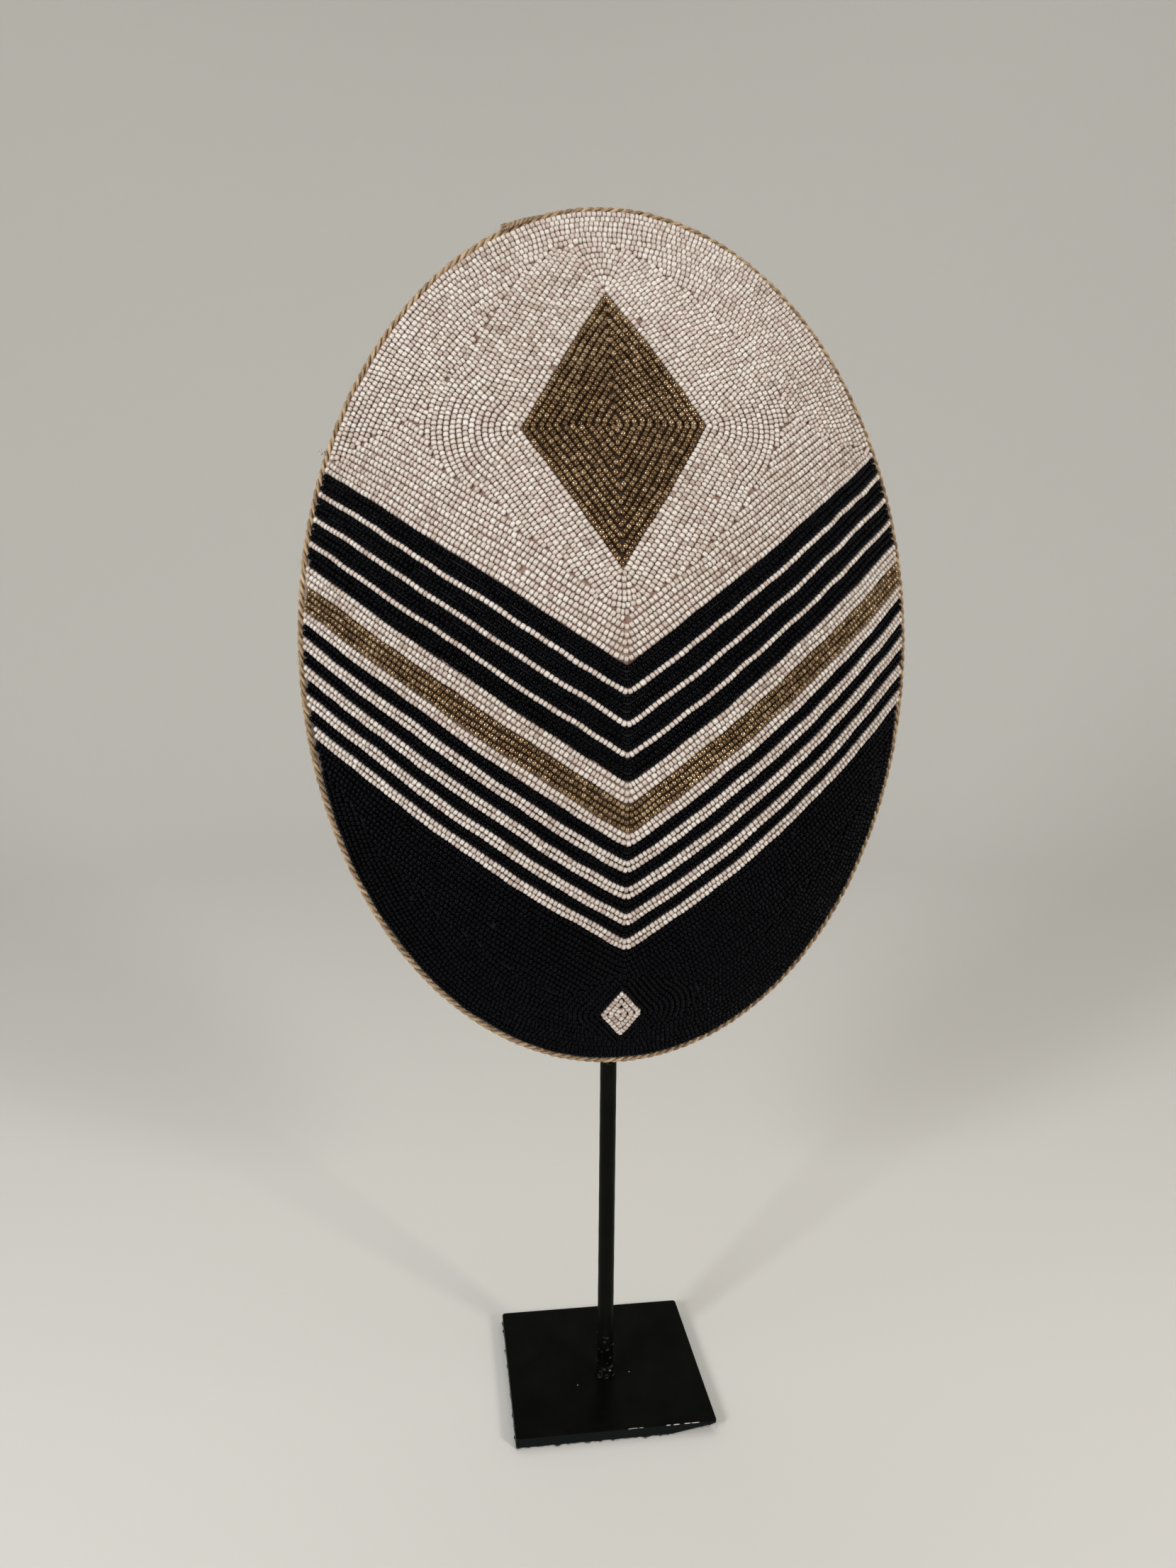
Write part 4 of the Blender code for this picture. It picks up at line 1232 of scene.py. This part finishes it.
end_steps = 32
end_share = np.linspace(0.0, 1.0, end_steps)
end_swell = CORD_END_TAPER + (1 - CORD_END_TAPER) * np.sin(math.pi / 2 * end_share)
end_radius = CORD_END_DIAMETER / 2 * end_swell
end_clear = ((0.35 + 0.3 * end_share) * CORD_RADIUS + (1 - CORD_END_PRESSED) * end_radius)[:, None]
end_angle = np.interp(end_share, (0, 1), CORD_END_ANGLES)
end_out, end_forward = end_clear * math.cos(CORD_END_TURN), end_clear * math.sin(CORD_END_TURN)
end_place, end_away = edge_path(end_angle, end_out, end_forward)
end_lean = math.cos(CORD_END_TURN) * end_away + math.sin(CORD_END_TURN) * FRONT
end_plies = twisted_plies(end_place, end_away, end_radius, closed=False)
end_grooves = grooves(end_plies, end_place, end_radius)
height_off = ((end_plies - end_place[:, None]) * end_lean[:, None]).sum(-1, keepdims=True)
end_plies = end_plies - CORD_END_PRESSED * height_off * end_lean[:, None]
end_count = end_steps * PLY_SIDES
end_faces = [part for ply in range(PLIES) for part in skin_faces(end_steps, PLY_SIDES, ply * end_count)]
cord_end = make_piece(
    "frayed_cord_end",
    stand_up(end_plies).reshape(-1, 3),
    end_faces,
    jute_fibre,
    {
        "tint": np.full(PLIES * end_count, 0.05),
        "glue": np.tile(np.repeat(0.6 * end_share, PLY_SIDES), PLIES),
        # a weaker painted shade in the grooves of the pressed end
        "groove": 0.45 * end_grooves.ravel(),
        **yarn_values(end_plies, TWIST_LENGTH / STEPS_PER_TURN * np.arange(end_steps)),
    },
)
dress(cord_end, "cord", "cord_end")

# %% [markdown]
# Loose fibres stand off the jute, and fuzz stands off the felt. A hair is a thin tapering tube on the
# curve root + t * head + t * t * bend. All of them are made in one array, with axes for the hairs, the
# joints along each, and the three corners round it.


# %% Hairs
HAIR_JOINTS = 3
HAIR_SIDES = 3
HAIR_POINTS = HAIR_JOINTS * HAIR_SIDES


def hair_points(roots, heads, bends, radius):
    """Points of many hairs as (hairs, joints, 3 corners, 3), each hair's radius falling to a third."""
    share = np.linspace(0, 1, HAIR_JOINTS)[None, :, None]
    middle = roots[:, None] + heads[:, None] * share + bends[:, None] * share**2
    side = unit(np.cross(heads, rng.normal(size=heads.shape)))
    other = np.cross(unit(heads), side)
    around = angles_round(HAIR_SIDES)
    ring = np.cos(around)[:, None] * side[:, None] + np.sin(around)[:, None] * other[:, None]
    return middle[:, :, None] + (radius * (1 - 0.67 * share))[..., None] * ring[:, None]


def hair_faces(count):
    """Quads along each hair and a triangle over each of its ends."""
    first = HAIR_POINTS * np.arange(count)[:, None, None]
    return [(first + part).reshape(-1, part.shape[1]) for part in skin_faces(HAIR_JOINTS, HAIR_SIDES)]


CORD_HAIRS = 900
CORD_HAIR_LENGTHS = (0.0012, 0.0042)
CORD_HAIR_RADIUS = 0.00005
TUFT_HAIRS = 220
TUFT_HAIR_LENGTHS = (0.0010, 0.0022)
TUFT_HAIR_RADIUS = 0.00024
which_step = rng.integers(0, cord_steps, CORD_HAIRS)
which_side = rng.uniform(-0.9, 2.2, CORD_HAIRS)
lead = np.cos(which_side)[:, None] * cord_away[which_step] + np.sin(which_side)[:, None] * FRONT
cord_along = unit(np.roll(cord_place, -1, axis=0) - cord_place)[which_step]
roots = cord_place[which_step] + 0.85 * CORD_RADIUS * lead
size = rng.uniform(*CORD_HAIR_LENGTHS, (CORD_HAIRS, 1))
heads = size * unit(cord_along * rng.choice((-1, 1), (CORD_HAIRS, 1)) + 0.35 * lead)
heads += 0.2 * size * rng.normal(size=heads.shape)
bends = 0.3 * size * rng.normal(size=heads.shape)
end_along = unit(end_place[-1] - end_place[-2])
tuft_roots = end_place[-2] + 0.7 * end_radius[-1] * rng.uniform(-1, 1, (TUFT_HAIRS, 3))
tuft_heads = rng.uniform(*TUFT_HAIR_LENGTHS, (TUFT_HAIRS, 1)) * unit(
    end_along + 0.35 * end_away[-1] + 0.22 * rng.normal(size=(TUFT_HAIRS, 3))
)
fibres = np.concatenate(
    (
        hair_points(roots, heads, bends, CORD_HAIR_RADIUS),
        hair_points(tuft_roots, tuft_heads, 0.2 * tuft_heads[:, ::-1], TUFT_HAIR_RADIUS),
    )
)
loose = make_piece(
    "loose_jute_fibres",
    stand_up(fibres).reshape(-1, 3),
    hair_faces(len(fibres)),
    jute_fibre,
    {
        "tint": np.repeat(rng.random(len(fibres)), HAIR_POINTS),
        "glue": np.repeat(np.arange(len(fibres)) >= CORD_HAIRS, HAIR_POINTS),
    },
)
dress(loose, "cord", "rim_cord", "cord_end")

# %% [markdown]
# One clear bead has stuck to the outside of the cord. It is a ring turned from a closed profile round
# its hole. Clear glass needs only plain values: full transmission, hardly any roughness.

# %% The stray bead
STRAY_ANGLE = math.radians(151.1)
STRAY_RADIUS = 0.0015
STRAY_OUT, STRAY_FORWARD = 0.0037, 0.0024
HOLE_RADIUS = 0.00045
STRAY_LOOP, STRAY_SIDES = 16, 24
STRAY_TILT = (0.9, 0.5)

clear_glass, clear_shader, _ = new_material("clear_bead_glass")
set_shader(
    clear_shader,
    {"Base Color": (0.93, 0.92, 0.89), "Roughness": 0.03, "IOR": 1.5, "Transmission Weight": 1.0},
)
loop = angles_round(STRAY_LOOP)
middle_radius = (STRAY_RADIUS + HOLE_RADIUS) / 2
tube_width = (STRAY_RADIUS - HOLE_RADIUS) / 2
loop_radius = middle_radius + tube_width * np.sign(np.cos(loop)) * np.abs(np.cos(loop)) ** 0.7
loop_height = 0.82 * STRAY_RADIUS * np.sign(np.sin(loop)) * np.abs(np.sin(loop)) ** 0.7
stray_rings = turned(loop_radius, loop_height, STRAY_SIDES)
tilt = Matrix.Rotation(STRAY_TILT[0], 3, "X") @ Matrix.Rotation(STRAY_TILT[1], 3, "Y")
stray_place, _ = edge_path(np.array([STRAY_ANGLE]), STRAY_OUT, STRAY_FORWARD)
stray_points = stray_rings.reshape(-1, 3) @ np.array(tilt).T + stray_place
stray = make_piece(
    "clear_stray_bead",
    stand_up(stray_points),
    [grid_faces(STRAY_LOOP, STRAY_SIDES, True, True)],
    clear_glass,
)
dress(stray, "clear_glass", "stray_bead")

# %% [markdown]
# The stand is steel under satin black paint. Paint is never quite flat: a slow noise lifts its roughness
# here and there, and a fine one gives it the orange peel that breaks up reflections. Two specks lie on
# the plate, and along its front top edge the paint is pale in short dashes, where a value on the mesh
# says so.


# %% Paint, felt and steel
def black_paint(name, roughness, shine, specks=()):
    """Nearly black paint, paler and bluer on the cut sides as a painted sheen, and pale in short dashes,
    where values on the mesh say.

    A speck is a place in metres where a dot of pale dust lies.
    """
    material, shader, start = new_material(name)
    slow = start.noise(60.0, 3.0)
    fine = start.noise(1400.0, 2.0)
    colour = slow.ramp((0.3, (0.0016, 0.0018, 0.0013)), (0.7, (0.0034, 0.0037, 0.0027)))
    # Painted sheen: where the value side says, the cut sides turn paler and bluer, for the light that falls
    # on them.
    colour = start.attribute("side").mix(colour, (0.0068, 0.0080, 0.0080, 1.0))
    pale_mark = start.attribute("chip")
    for speck in specks:
        inputs = {0: start.place(), 1: speck}
        away = start.node("ShaderNodeVectorMath", {"operation": "DISTANCE"}, inputs, "Value")
        pale_mark = pale_mark + away.clamp(0.00045, 0.00025)
    pale = start.attribute("chip").mix((0.42, 0.40, 0.38, 1.0), (0.62, 0.56, 0.52, 1.0))
    set_shader(
        shader,
        {
            "Base Color": pale_mark.math("MINIMUM", pale_mark, 1.0).mix(colour, pale),
            "Roughness": roughness + slow * 0.1,
            "Specular IOR Level": shine,
            "Normal": fine.bump(0.00006, 0.4),
        },
    )
    return material


PLATE_MIDDLE = (plate_low + plate_high) / 2
PLATE_HALF = (plate_high[0] - plate_low[0]) / 2
PLATE_TOP = plate_high[2]
SPECKS = ((-0.0184, -0.0084, PLATE_TOP), (0.0155, -0.0001, PLATE_TOP))
satin_paint = black_paint("satin_black_paint", 0.20, 0.05)
rod_paint = black_paint("rod_black_paint", 0.24, 0.05)
plate_paint = black_paint("plate_black_paint", 0.28, 0.02, SPECKS)
gloss_paint = black_paint("gloss_black_paint", 0.03, 0.5)

felt_fibre, felt_shader, felt_start = new_material("black_felt")
felt_noise = felt_start.noise(1200.0, 4.0)
felt_colour = felt_noise.ramp((0.3, (0.005, 0.005, 0.005)), (0.7, (0.018, 0.018, 0.018)))
set_shader(felt_shader, {"Base Color": felt_colour, "Roughness": 0.95, "Normal": felt_noise.bump(0.0004)})

screw_metal, steel_shader, steel_start = new_material("dull_steel")
scratches = steel_start.noise(900.0, 2.0, (1.0, 1.0, 6.0))
worn = 0.26 + scratches * 0.25
set_shader(steel_shader, {"Base Color": (0.44, 0.43, 0.41), "Metallic": 1.0, "Roughness": worn})
print("stand materials ready")

# %% [markdown]
# The rod is round bar, smooth but for weld spatter over its lowest few centimetres. A blob is a bump
# shaped like a bell on the bar's side, and the highest of all the blobs at a point counts. The weld is
# one glossy skin: a low collar round the foot and, above it, a sleeve just inside the bar, out of
# which the blobs rise, fewer with height. A tube deeper in the bar closes it.

# %% The rod and its weld
ROD_SIDES = 40
ROD_RINGS = 80
ROD_WAVE = 0.00005
END_CHAMFER = 0.0008
WELD_SIDES = 80
WELD_RINGS = 90
COLLAR_FULLNESS = 0.7
SLEEVE_SUNK = 0.0003
TUBE_SUNK = 0.0006
SPATTER_TOP = 0.031
SPATTER_MARGIN = 0.003
SPATTER_BLOBS = 60
BLOB_WIDTH = 0.00085
BLOB_RISE = 0.0007


def bell(values, middle=0.0, width=1.0):
    """A smooth bump one high: exp(-((value - middle) / width) squared)."""
    return np.exp(-(((values - middle) / width) ** 2))


def blobs(heights, sides, count, low, high):
    """Bumps on a round bar's side as (rings, sides), each a bell over the distance from its middle."""
    turn = angles_round(sides)[None, :, None]
    at_turn = rng.uniform(0, 2 * math.pi, count)
    at_height = low + (high - low) * rng.random(count) ** 1.7
    apart = (turn - at_turn + math.pi) % (2 * math.pi) - math.pi
    distance = np.hypot(apart * ROD_RADIUS, heights[:, None, None] - at_height)
    size = rng.uniform(0.6, 1.3, count)
    return (BLOB_RISE * size * bell(distance, width=BLOB_WIDTH * size)).max(-1)


foot = rod_low[2]
rod_heights = np.append(np.linspace(foot, rod_high[2] - END_CHAMFER, ROD_RINGS), rod_high[2])
rod_radii = ROD_RADIUS + ROD_WAVE * np.sin(rod_heights * 310) - ROD_WAVE
rod_radii[-1] -= END_CHAMFER
rod_points = turned(rod_radii, rod_heights, ROD_SIDES).reshape(-1, 3)
rod = make_piece("painted_rod", rod_points, skin_faces(len(rod_heights), ROD_SIDES), rod_paint)
dress(rod, "black_paint", "rod")

weld_low, weld_high = box_of("weld_bead")
weld_width = (weld_high[0] - weld_low[0]) / 2 - ROD_RADIUS - FIT_GAP
spatter_top = foot + SPATTER_TOP
weld_heights = np.linspace(weld_low[2], spatter_top, WELD_RINGS)
rise = np.minimum((weld_heights - weld_low[2]) / (weld_high[2] - weld_low[2]), 1.0)
swelling = np.sqrt(1 - rise**2.2) * (0.45 + 0.55 * (1 - rise) ** 1.5)
weld_skin = ROD_RADIUS - SLEEVE_SUNK + (COLLAR_FULLNESS * weld_width + SLEEVE_SUNK) * swelling[:, None]
spatter = blobs(weld_heights, WELD_SIDES, SPATTER_BLOBS, weld_low[2], spatter_top - SPATTER_MARGIN)
weld_skin = weld_skin + spatter
buried = np.full((1, WELD_SIDES), ROD_RADIUS - TUBE_SUNK)
weld_radii = np.concatenate((buried, weld_skin, buried))
weld_levels = np.concatenate((weld_heights[:1], weld_heights, weld_heights[-1:]))
weld_points = turned(weld_radii, weld_levels, WELD_SIDES).reshape(-1, 3)
weld_faces = [grid_faces(len(weld_levels), WELD_SIDES, close_rows=True, close_columns=True)]
weld = make_piece("lumpy_weld", weld_points, weld_faces, gloss_paint)
dress(weld, "black_paint", "weld_bead")

# %% [markdown]
# The plate is cut from rough-edged bar and painted: square, with slightly round corners, burrs along
# its left side and front, and its front right corner cut crooked from below. Its skin is a section of
# insets and heights, drawn for a plate 6 mm thick and carried round the square. The crooked cut is a
# plane: it lifts the underside by its height at the corner and by nothing along a line across it.

# %% The plate
CORNER_RADIUS = 0.002
BEND_STEPS = 9
PLATE_STEP = 0.0011
DRAWN_THICK = 0.006
CUT_WIDTH, CUT_DEPTH, CUT_HEIGHT = 0.026, 0.035, 0.0045
BURR = 0.00045
LOW_BURR, TOP_BURR = (0.0006, 0.0015), (0.0055, 0.0006)
PALE_DASHES = ((0.0068, 0.0118, 0.5), (0.0135, 0.0156, 0.5), (0.0295, 0.0316, 1.0))
PALE_DASHES += ((0.0342, 0.0368, 1.0), (0.0400, 0.0440, 1.0), (0.0448, 0.0493, 1.0))


def round_square(half, corner, step):
    """Points round a square with round corners and the outward normal at each, anticlockwise.

    A side's points lie at the middles of even steps, so that none of them repeats an end of a bend.
    """
    steps = len(np.arange(corner - half, half - corner, step))
    straight = (half - corner) * ((2 * np.arange(steps) + 1) / steps - 1)
    bend = np.linspace(0, math.pi / 2, BEND_STEPS)
    arc_normal = np.stack((np.cos(bend), np.sin(bend)), -1)
    side = np.stack((np.full(len(straight), half), straight), -1)
    quarter = np.concatenate((side, half - corner + corner * arc_normal))
    normal = np.concatenate((np.tile((1.0, 0.0), (len(straight), 1)), arc_normal))
    turns = [np.linalg.matrix_power(np.array([[0, -1], [1, 0]]), turn) for turn in range(4)]
    return [np.concatenate([part @ turn.T for turn in turns]) for part in (quarter, normal)]


def corner_lift(flat, half):
    """How far the crooked cut lies above the underside: a plane, and 0 where it would be below."""
    across = (flat[..., 0] - (half - CUT_WIDTH)) / CUT_WIDTH - (flat[..., 1] + half) / CUT_DEPTH
    return CUT_HEIGHT * np.maximum(across, 0.0)


def ragged(count, spread):
    """Noise for each point of an outline, smoothed under a bell as wide as spread, its peaks kept."""
    shares = bell(np.linspace(-2, 2, spread))
    noise = rng.normal(size=count + spread - 1)
    smooth = np.convolve(noise, shares / np.linalg.norm(shares), "valid")
    return np.maximum(smooth - 0.7, 0.0)


outline, normals = round_square(PLATE_HALF, CORNER_RADIUS, PLATE_STEP)
count = len(outline)
thick = plate_high[2] - plate_low[2]
INSETS = (40, 20, 6, 0.6, 0.1, 0, 0, 0, 0, 0, 0, 0.03, 0.09, 0.25, 0.42, 0.62, 3, 12, 28, 42)
HEIGHTS = (0, 0, 0, 0, 0.15, 0.5, 1.1, 2, 3, 4, 5, 5.55, 5.72, 5.88, 5.96, 6, 6, 6, 6, 6)
insets = np.array(INSETS)[:, None] / 1000
levels = np.array(HEIGHTS)[:, None] / 1000 * thick / DRAWN_THICK
worn_side = 0.25 + 0.75 * np.clip(-normals[:, 0], 0, 1) + 0.5 * np.clip(-normals[:, 1], 0, 1)
burrs = BURR * (ragged(count, 5) + 0.6 * ragged(count, 15)) * worn_side
burr_push = burrs * (bell(levels, *LOW_BURR) + 0.35 * bell(levels, *TOP_BURR)) * (insets < 0.001)
plate_flat = outline * (1 - insets / PLATE_HALF)[..., None] + burr_push[..., None] * normals
lift = corner_lift(plate_flat, PLATE_HALF)
plate_height = plate_low[2] + lift + levels * (1 - lift / thick)
plate_points = np.concatenate((plate_flat + PLATE_MIDDLE[:2], plate_height[..., None]), -1)
on_edge = (insets > 0.00005) & (insets < 0.0003) & (levels > 0.005) & (normals[:, 1] < -0.9)
# Short pale dashes along the front top edge of the paint.
chip = np.zeros(plate_height.shape)
for start, stop, strength in PALE_DASHES:
    chip += strength * (on_edge & (outline[:, 0] > start) & (outline[:, 0] < stop))
# The cut sides between the top and the bottom edge, which take the painted sheen.
side_sheen = np.broadcast_to((levels > 0.0004) & (levels < 0.0056), chip.shape).astype(float)
plate = make_piece(
    "painted_plate",
    plate_points.reshape(-1, 3),
    skin_faces(len(INSETS), count),
    plate_paint,
    {"chip": chip.ravel(), "side": side_sheen.ravel()},
)
dress(plate, "black_paint", "base_plate")

# %% [markdown]
# Under the plate is a thin felt, cut a little smaller and raggedly, without the corner where the plate
# is cut away. Its fuzz sticks out in tufts, most of it on the left and in front, and a loose thread
# curls at the front right corner.

# %% The felt and its fuzz
FELT_INSET = 0.001
FELT_CORNER = 0.0005
FELT_STEP = 0.0009
FELT_RAGGED = 0.0004
FUZZ_TUFTS = 105
HAIRS_IN_TUFT = 14
FUZZ_LEVELS = (0.0003, 0.0009)
FUZZ_SCATTER = 0.0004
FUZZ_LENGTH = 0.0008
FUZZ_BEND = 0.0003
FUZZ_RADIUS = 0.00007
LEAST_HEIGHT = 0.00005
felt_low, felt_high = box_of("felt_pad")
felt_half = PLATE_HALF - FELT_INSET
felt_line, felt_normals = round_square(felt_half, FELT_CORNER, FELT_STEP)
felt_line = felt_line + FELT_RAGGED * (ragged(len(felt_line), 7) - 0.4)[:, None] * felt_normals
FELT_INSETS = (30, 6, 0.4, 0, 0, 0.4, 6, 30)
FELT_LEVELS = (0, 0, 0, 0.3, 0.7, 1, 1, 1)
felt_insets = np.array(FELT_INSETS)[:, None, None] / 1000
felt_flat = felt_line * (1 - felt_insets / felt_half)
past_cut = corner_lift(felt_flat, felt_half) / CUT_HEIGHT
slope = np.array((1 / CUT_WIDTH, -1 / CUT_DEPTH))
felt_flat = felt_flat - past_cut[..., None] * slope / (slope @ slope)
felt_levels = np.array(FELT_LEVELS)[:, None] * (felt_high[2] - felt_low[2])
felt_levels = np.broadcast_to(felt_levels, felt_flat.shape[:2])
felt_points = np.concatenate((felt_flat + PLATE_MIDDLE[:2], felt_levels[..., None]), -1)
felt = make_piece(
    "ragged_felt", felt_points.reshape(-1, 3), skin_faces(len(FELT_LEVELS), len(felt_line)), felt_fibre
)
dress(felt, "felt", "felt_pad")

weights = 0.2 + np.clip(-felt_normals[:, 0], 0, 1) + np.clip(-felt_normals[:, 1], 0, 1)
tufts = rng.choice(len(felt_line), FUZZ_TUFTS, p=weights / weights.sum())
spots = np.repeat(tufts, HAIRS_IN_TUFT)
fuzz_count = len(spots)
out = np.concatenate((felt_normals[spots], np.zeros((fuzz_count, 1))), -1)
tuft_size = np.repeat(rng.uniform(0.4, 1.6, FUZZ_TUFTS), HAIRS_IN_TUFT)[:, None]
fuzz_levels = rng.uniform(*FUZZ_LEVELS, (fuzz_count, 1))
fuzz_roots = np.concatenate((felt_flat[3][spots] + PLATE_MIDDLE[:2], fuzz_levels), -1)
fuzz_roots[:, :2] += rng.normal(0, FUZZ_SCATTER, (fuzz_count, 2))
fuzz_way = unit(out + 0.5 * rng.normal(size=out.shape) * (1.0, 1.0, 0.25))
fuzz_heads = FUZZ_LENGTH * tuft_size * fuzz_way
fuzz_bends = FUZZ_BEND * rng.normal(size=out.shape) * (1.0, 1.0, 0.2)
fuzz = hair_points(fuzz_roots, fuzz_heads, fuzz_bends, FUZZ_RADIUS)
fuzz[..., 2] = np.maximum(fuzz[..., 2], LEAST_HEIGHT)
felt_fuzz = make_piece("felt_fuzz", fuzz.reshape(-1, 3), hair_faces(fuzz_count), felt_fibre)
dress(felt_fuzz, "felt", "felt_pad")

THREAD_RADIUS = 0.00016
THREAD_STEPS, THREAD_SIDES = 40, 6
THREAD_FROM, THREAD_CURL = -1.1, 5.2
THREAD_WIDTH, THREAD_HEIGHT = 0.0026, 0.0013
THREAD_PLACE = (-0.0024, -0.0006, 0.0028)
thread_share = np.linspace(0.0, 1.0, THREAD_STEPS)
thread_turn = THREAD_FROM + THREAD_CURL * thread_share
curl_across = THREAD_WIDTH * np.cos(thread_turn) * (1 - 0.3 * thread_share)
thread_middle = np.stack(
    (
        PLATE_MIDDLE[0] + PLATE_HALF + THREAD_PLACE[0] + curl_across,
        PLATE_MIDDLE[1] - PLATE_HALF + THREAD_PLACE[1] - 0.0003 * thread_share,
        plate_low[2] + THREAD_PLACE[2] + THREAD_HEIGHT * np.sin(thread_turn),
    ),
    -1,
)
thread_lead = np.tile(FRONT, (THREAD_STEPS, 1))
thread_radii = np.full((THREAD_STEPS, 1), THREAD_RADIUS)
thread_rings = tube_rings(thread_middle, thread_lead, thread_radii, THREAD_SIDES, closed=False)
thread_fibre, thread_shader, _ = new_material("pale_thread")
set_shader(thread_shader, {"Base Color": (0.42, 0.42, 0.39), "Roughness": 0.7})
thread_faces = skin_faces(THREAD_STEPS, THREAD_SIDES)
thread = make_piece("loose_thread", thread_rings.reshape(-1, 3), thread_faces, thread_fibre)
dress(thread, "felt", "felt_pad")

# %% [markdown]
# At the back, two battens carry saddles that hold the rod, each with two pan head screws. Battens and
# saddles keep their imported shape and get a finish. A screw is turned, and its cross is pressed into the
# head: the points inside two crossed bars are pushed down, deepest in the middle.

# %% The back's fittings
SCREW_SIDES = 32
SHANK_RINGS, HEAD_RINGS = 24, 16
SCREW_THREAD = 0.00012
HEAD_RADIUS = 0.00325
HEAD_HEIGHT = 0.0022
SHANK_RADIUS = 0.0016
CROSS_HALF = (0.0017, 0.00033)
CROSS_DEPTH = 0.0013


def screw_rings(length):
    """Rings from the screw's point, along its shank, round its head and to the head's middle."""
    along_shank = np.linspace(0.0, 1.0, SHANK_RINGS)
    shank_heights = -length + (length - 0.0001) * along_shank
    tapered = SHANK_RADIUS * np.minimum(1.0, 0.2 + 5 * along_shank)
    shank = tapered + SCREW_THREAD * np.sin(along_shank * 60)
    dome = np.linspace(math.pi / 2, 0.02, HEAD_RINGS)
    head_radii = HEAD_RADIUS * np.sin(dome)
    head_heights = HEAD_HEIGHT * np.sqrt(np.cos(dome))
    radii = np.concatenate((np.minimum(shank, SHANK_RADIUS), head_radii))
    heights = np.concatenate((shank_heights, head_heights))
    rings = turned(radii, heights, SCREW_SIDES)
    from_axis = np.abs(rings[..., :2])
    far, near = from_axis.max(-1), from_axis.min(-1)
    in_cross = (far < CROSS_HALF[0]) & (near < CROSS_HALF[1]) & (rings[..., 2] > 0.0005)
    rings[..., 2] -= CROSS_DEPTH * in_cross * (1 - 0.5 * far / CROSS_HALF[0])
    return rings


for node in ("lower_left_screw", "lower_right_screw", "upper_left_screw", "upper_right_screw"):
    low, high = box_of(node)
    middle = (low + high) / 2
    rings = screw_rings(high[1] - low[1] - HEAD_HEIGHT)
    turn = Matrix.Rotation(rng.uniform(0, math.pi), 3, "Z")
    placed = rings.reshape(-1, 3) @ np.array(Matrix.Rotation(-math.pi / 2, 3, "X") @ turn).T
    placed += (middle[0], high[1] - HEAD_HEIGHT, middle[2])
    screw = make_piece(node + "_turned", placed, skin_faces(len(rings), SCREW_SIDES), screw_metal)
    dress(screw, "screw_steel", node)

batten_wood = carved_wood("batten_wood", (0.08, 1.0, 1.0))
for node, finish in (
    ("lower_saddle", satin_paint),
    ("upper_saddle", satin_paint),
    ("lower_batten", batten_wood),
    ("upper_batten", batten_wood),
):
    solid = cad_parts[node]
    solid.data.materials.clear()
    solid.data.materials.append(finish)

# %% [markdown]
# The floor is one wide dish: flat in the middle and rising smoothly far away, so no view meets an
# edge or a corner. Its profile is a flat stretch and then a quarter of an ellipse, turned round.

# %% Floor
FLOOR_INNER = (0.001, 0.8)
FLOOR_FLAT = 1.5
FLOOR_RADIUS = 3.6
FLOOR_HEIGHT = 3.2
FLOOR_STEPS = 24
FLOOR_SIDES = 96
bend = np.linspace(0, math.pi / 2, FLOOR_STEPS)
floor_radius = np.concatenate((FLOOR_INNER, FLOOR_FLAT + (FLOOR_RADIUS - FLOOR_FLAT) * np.sin(bend)))
floor_height = np.concatenate(([0.0, 0.0], FLOOR_HEIGHT * (1 - np.cos(bend))))
floor_rings = turned(floor_radius, floor_height, FLOOR_SIDES)
pale, pale_shader, _ = new_material("pale_floor")
set_shader(pale_shader, {"Base Color": (0.66, 0.645, 0.605), "Roughness": 0.9})
floor_faces = [grid_faces(len(floor_radius), FLOOR_SIDES, close_columns=True)[:, ::-1]]
floor = make_piece("floor", floor_rings.reshape(-1, 3), floor_faces, pale)
floor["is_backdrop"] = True
print("faces in the floor:", len(floor.data.polygons))

# %% [markdown]
# Two soft lights, like windows at the left and the right of the camera, put a pair of highlights
# on every bead. A third above, and somewhat behind, keeps the floor pale on every side. The world adds
# only a little, because black paint and black glass reflect it from everywhere.


# %% Light
def soft_light(name, place, target, size, watts, colour):
    """A rectangular lamp, as wide and high as size in metres, at a place and turned to its target."""
    lamp = bpy.data.lights.new(name, "AREA")
    lamp.shape = "RECTANGLE"
    lamp.size, lamp.size_y = size
    lamp.energy = watts
    lamp.color = colour
    item = bpy.data.objects.new(name, lamp)
    bpy.context.scene.collection.objects.link(item)
    item.location = place
    item.rotation_euler = (Vector(target) - Vector(place)).to_track_quat("-Z", "Y").to_euler()


MIDDLE = (0, 0, 0.9)
soft_light("left_window", (-1.3, -1.3, 1.05), MIDDLE, (0.34, 0.55), 29.0, (0.97, 0.98, 1.0))
soft_light("right_window", (1.15, -1.5, 1.05), MIDDLE, (0.30, 0.50), 22.0, (1.0, 0.97, 0.92))
soft_light("ceiling", (0.0, 0.8, 3.4), (0, 0.8, 0), (3.8, 3.8), 52.0, (1.0, 0.99, 0.97))
world = bpy.data.worlds.new("pale_world")
bpy.context.scene.world = world
world.use_nodes = True
world.node_tree.nodes["Background"].inputs["Color"].default_value = (0.95, 0.97, 1.0, 1.0)
world.node_tree.nodes["Background"].inputs["Strength"].default_value = 0.10
bpy.context.scene.view_settings.view_transform = "Standard"
print("lights and world ready")

# %% [markdown]
# Last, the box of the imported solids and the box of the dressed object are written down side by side.

# %% Compare the boxes and finish
dressed_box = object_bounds()
boxes = {"cad": cad_box, "visual": dressed_box}
for name, box in boxes.items():
    print(name, "box:", [tuple(round(value, 4) for value in corner) for corner in box])
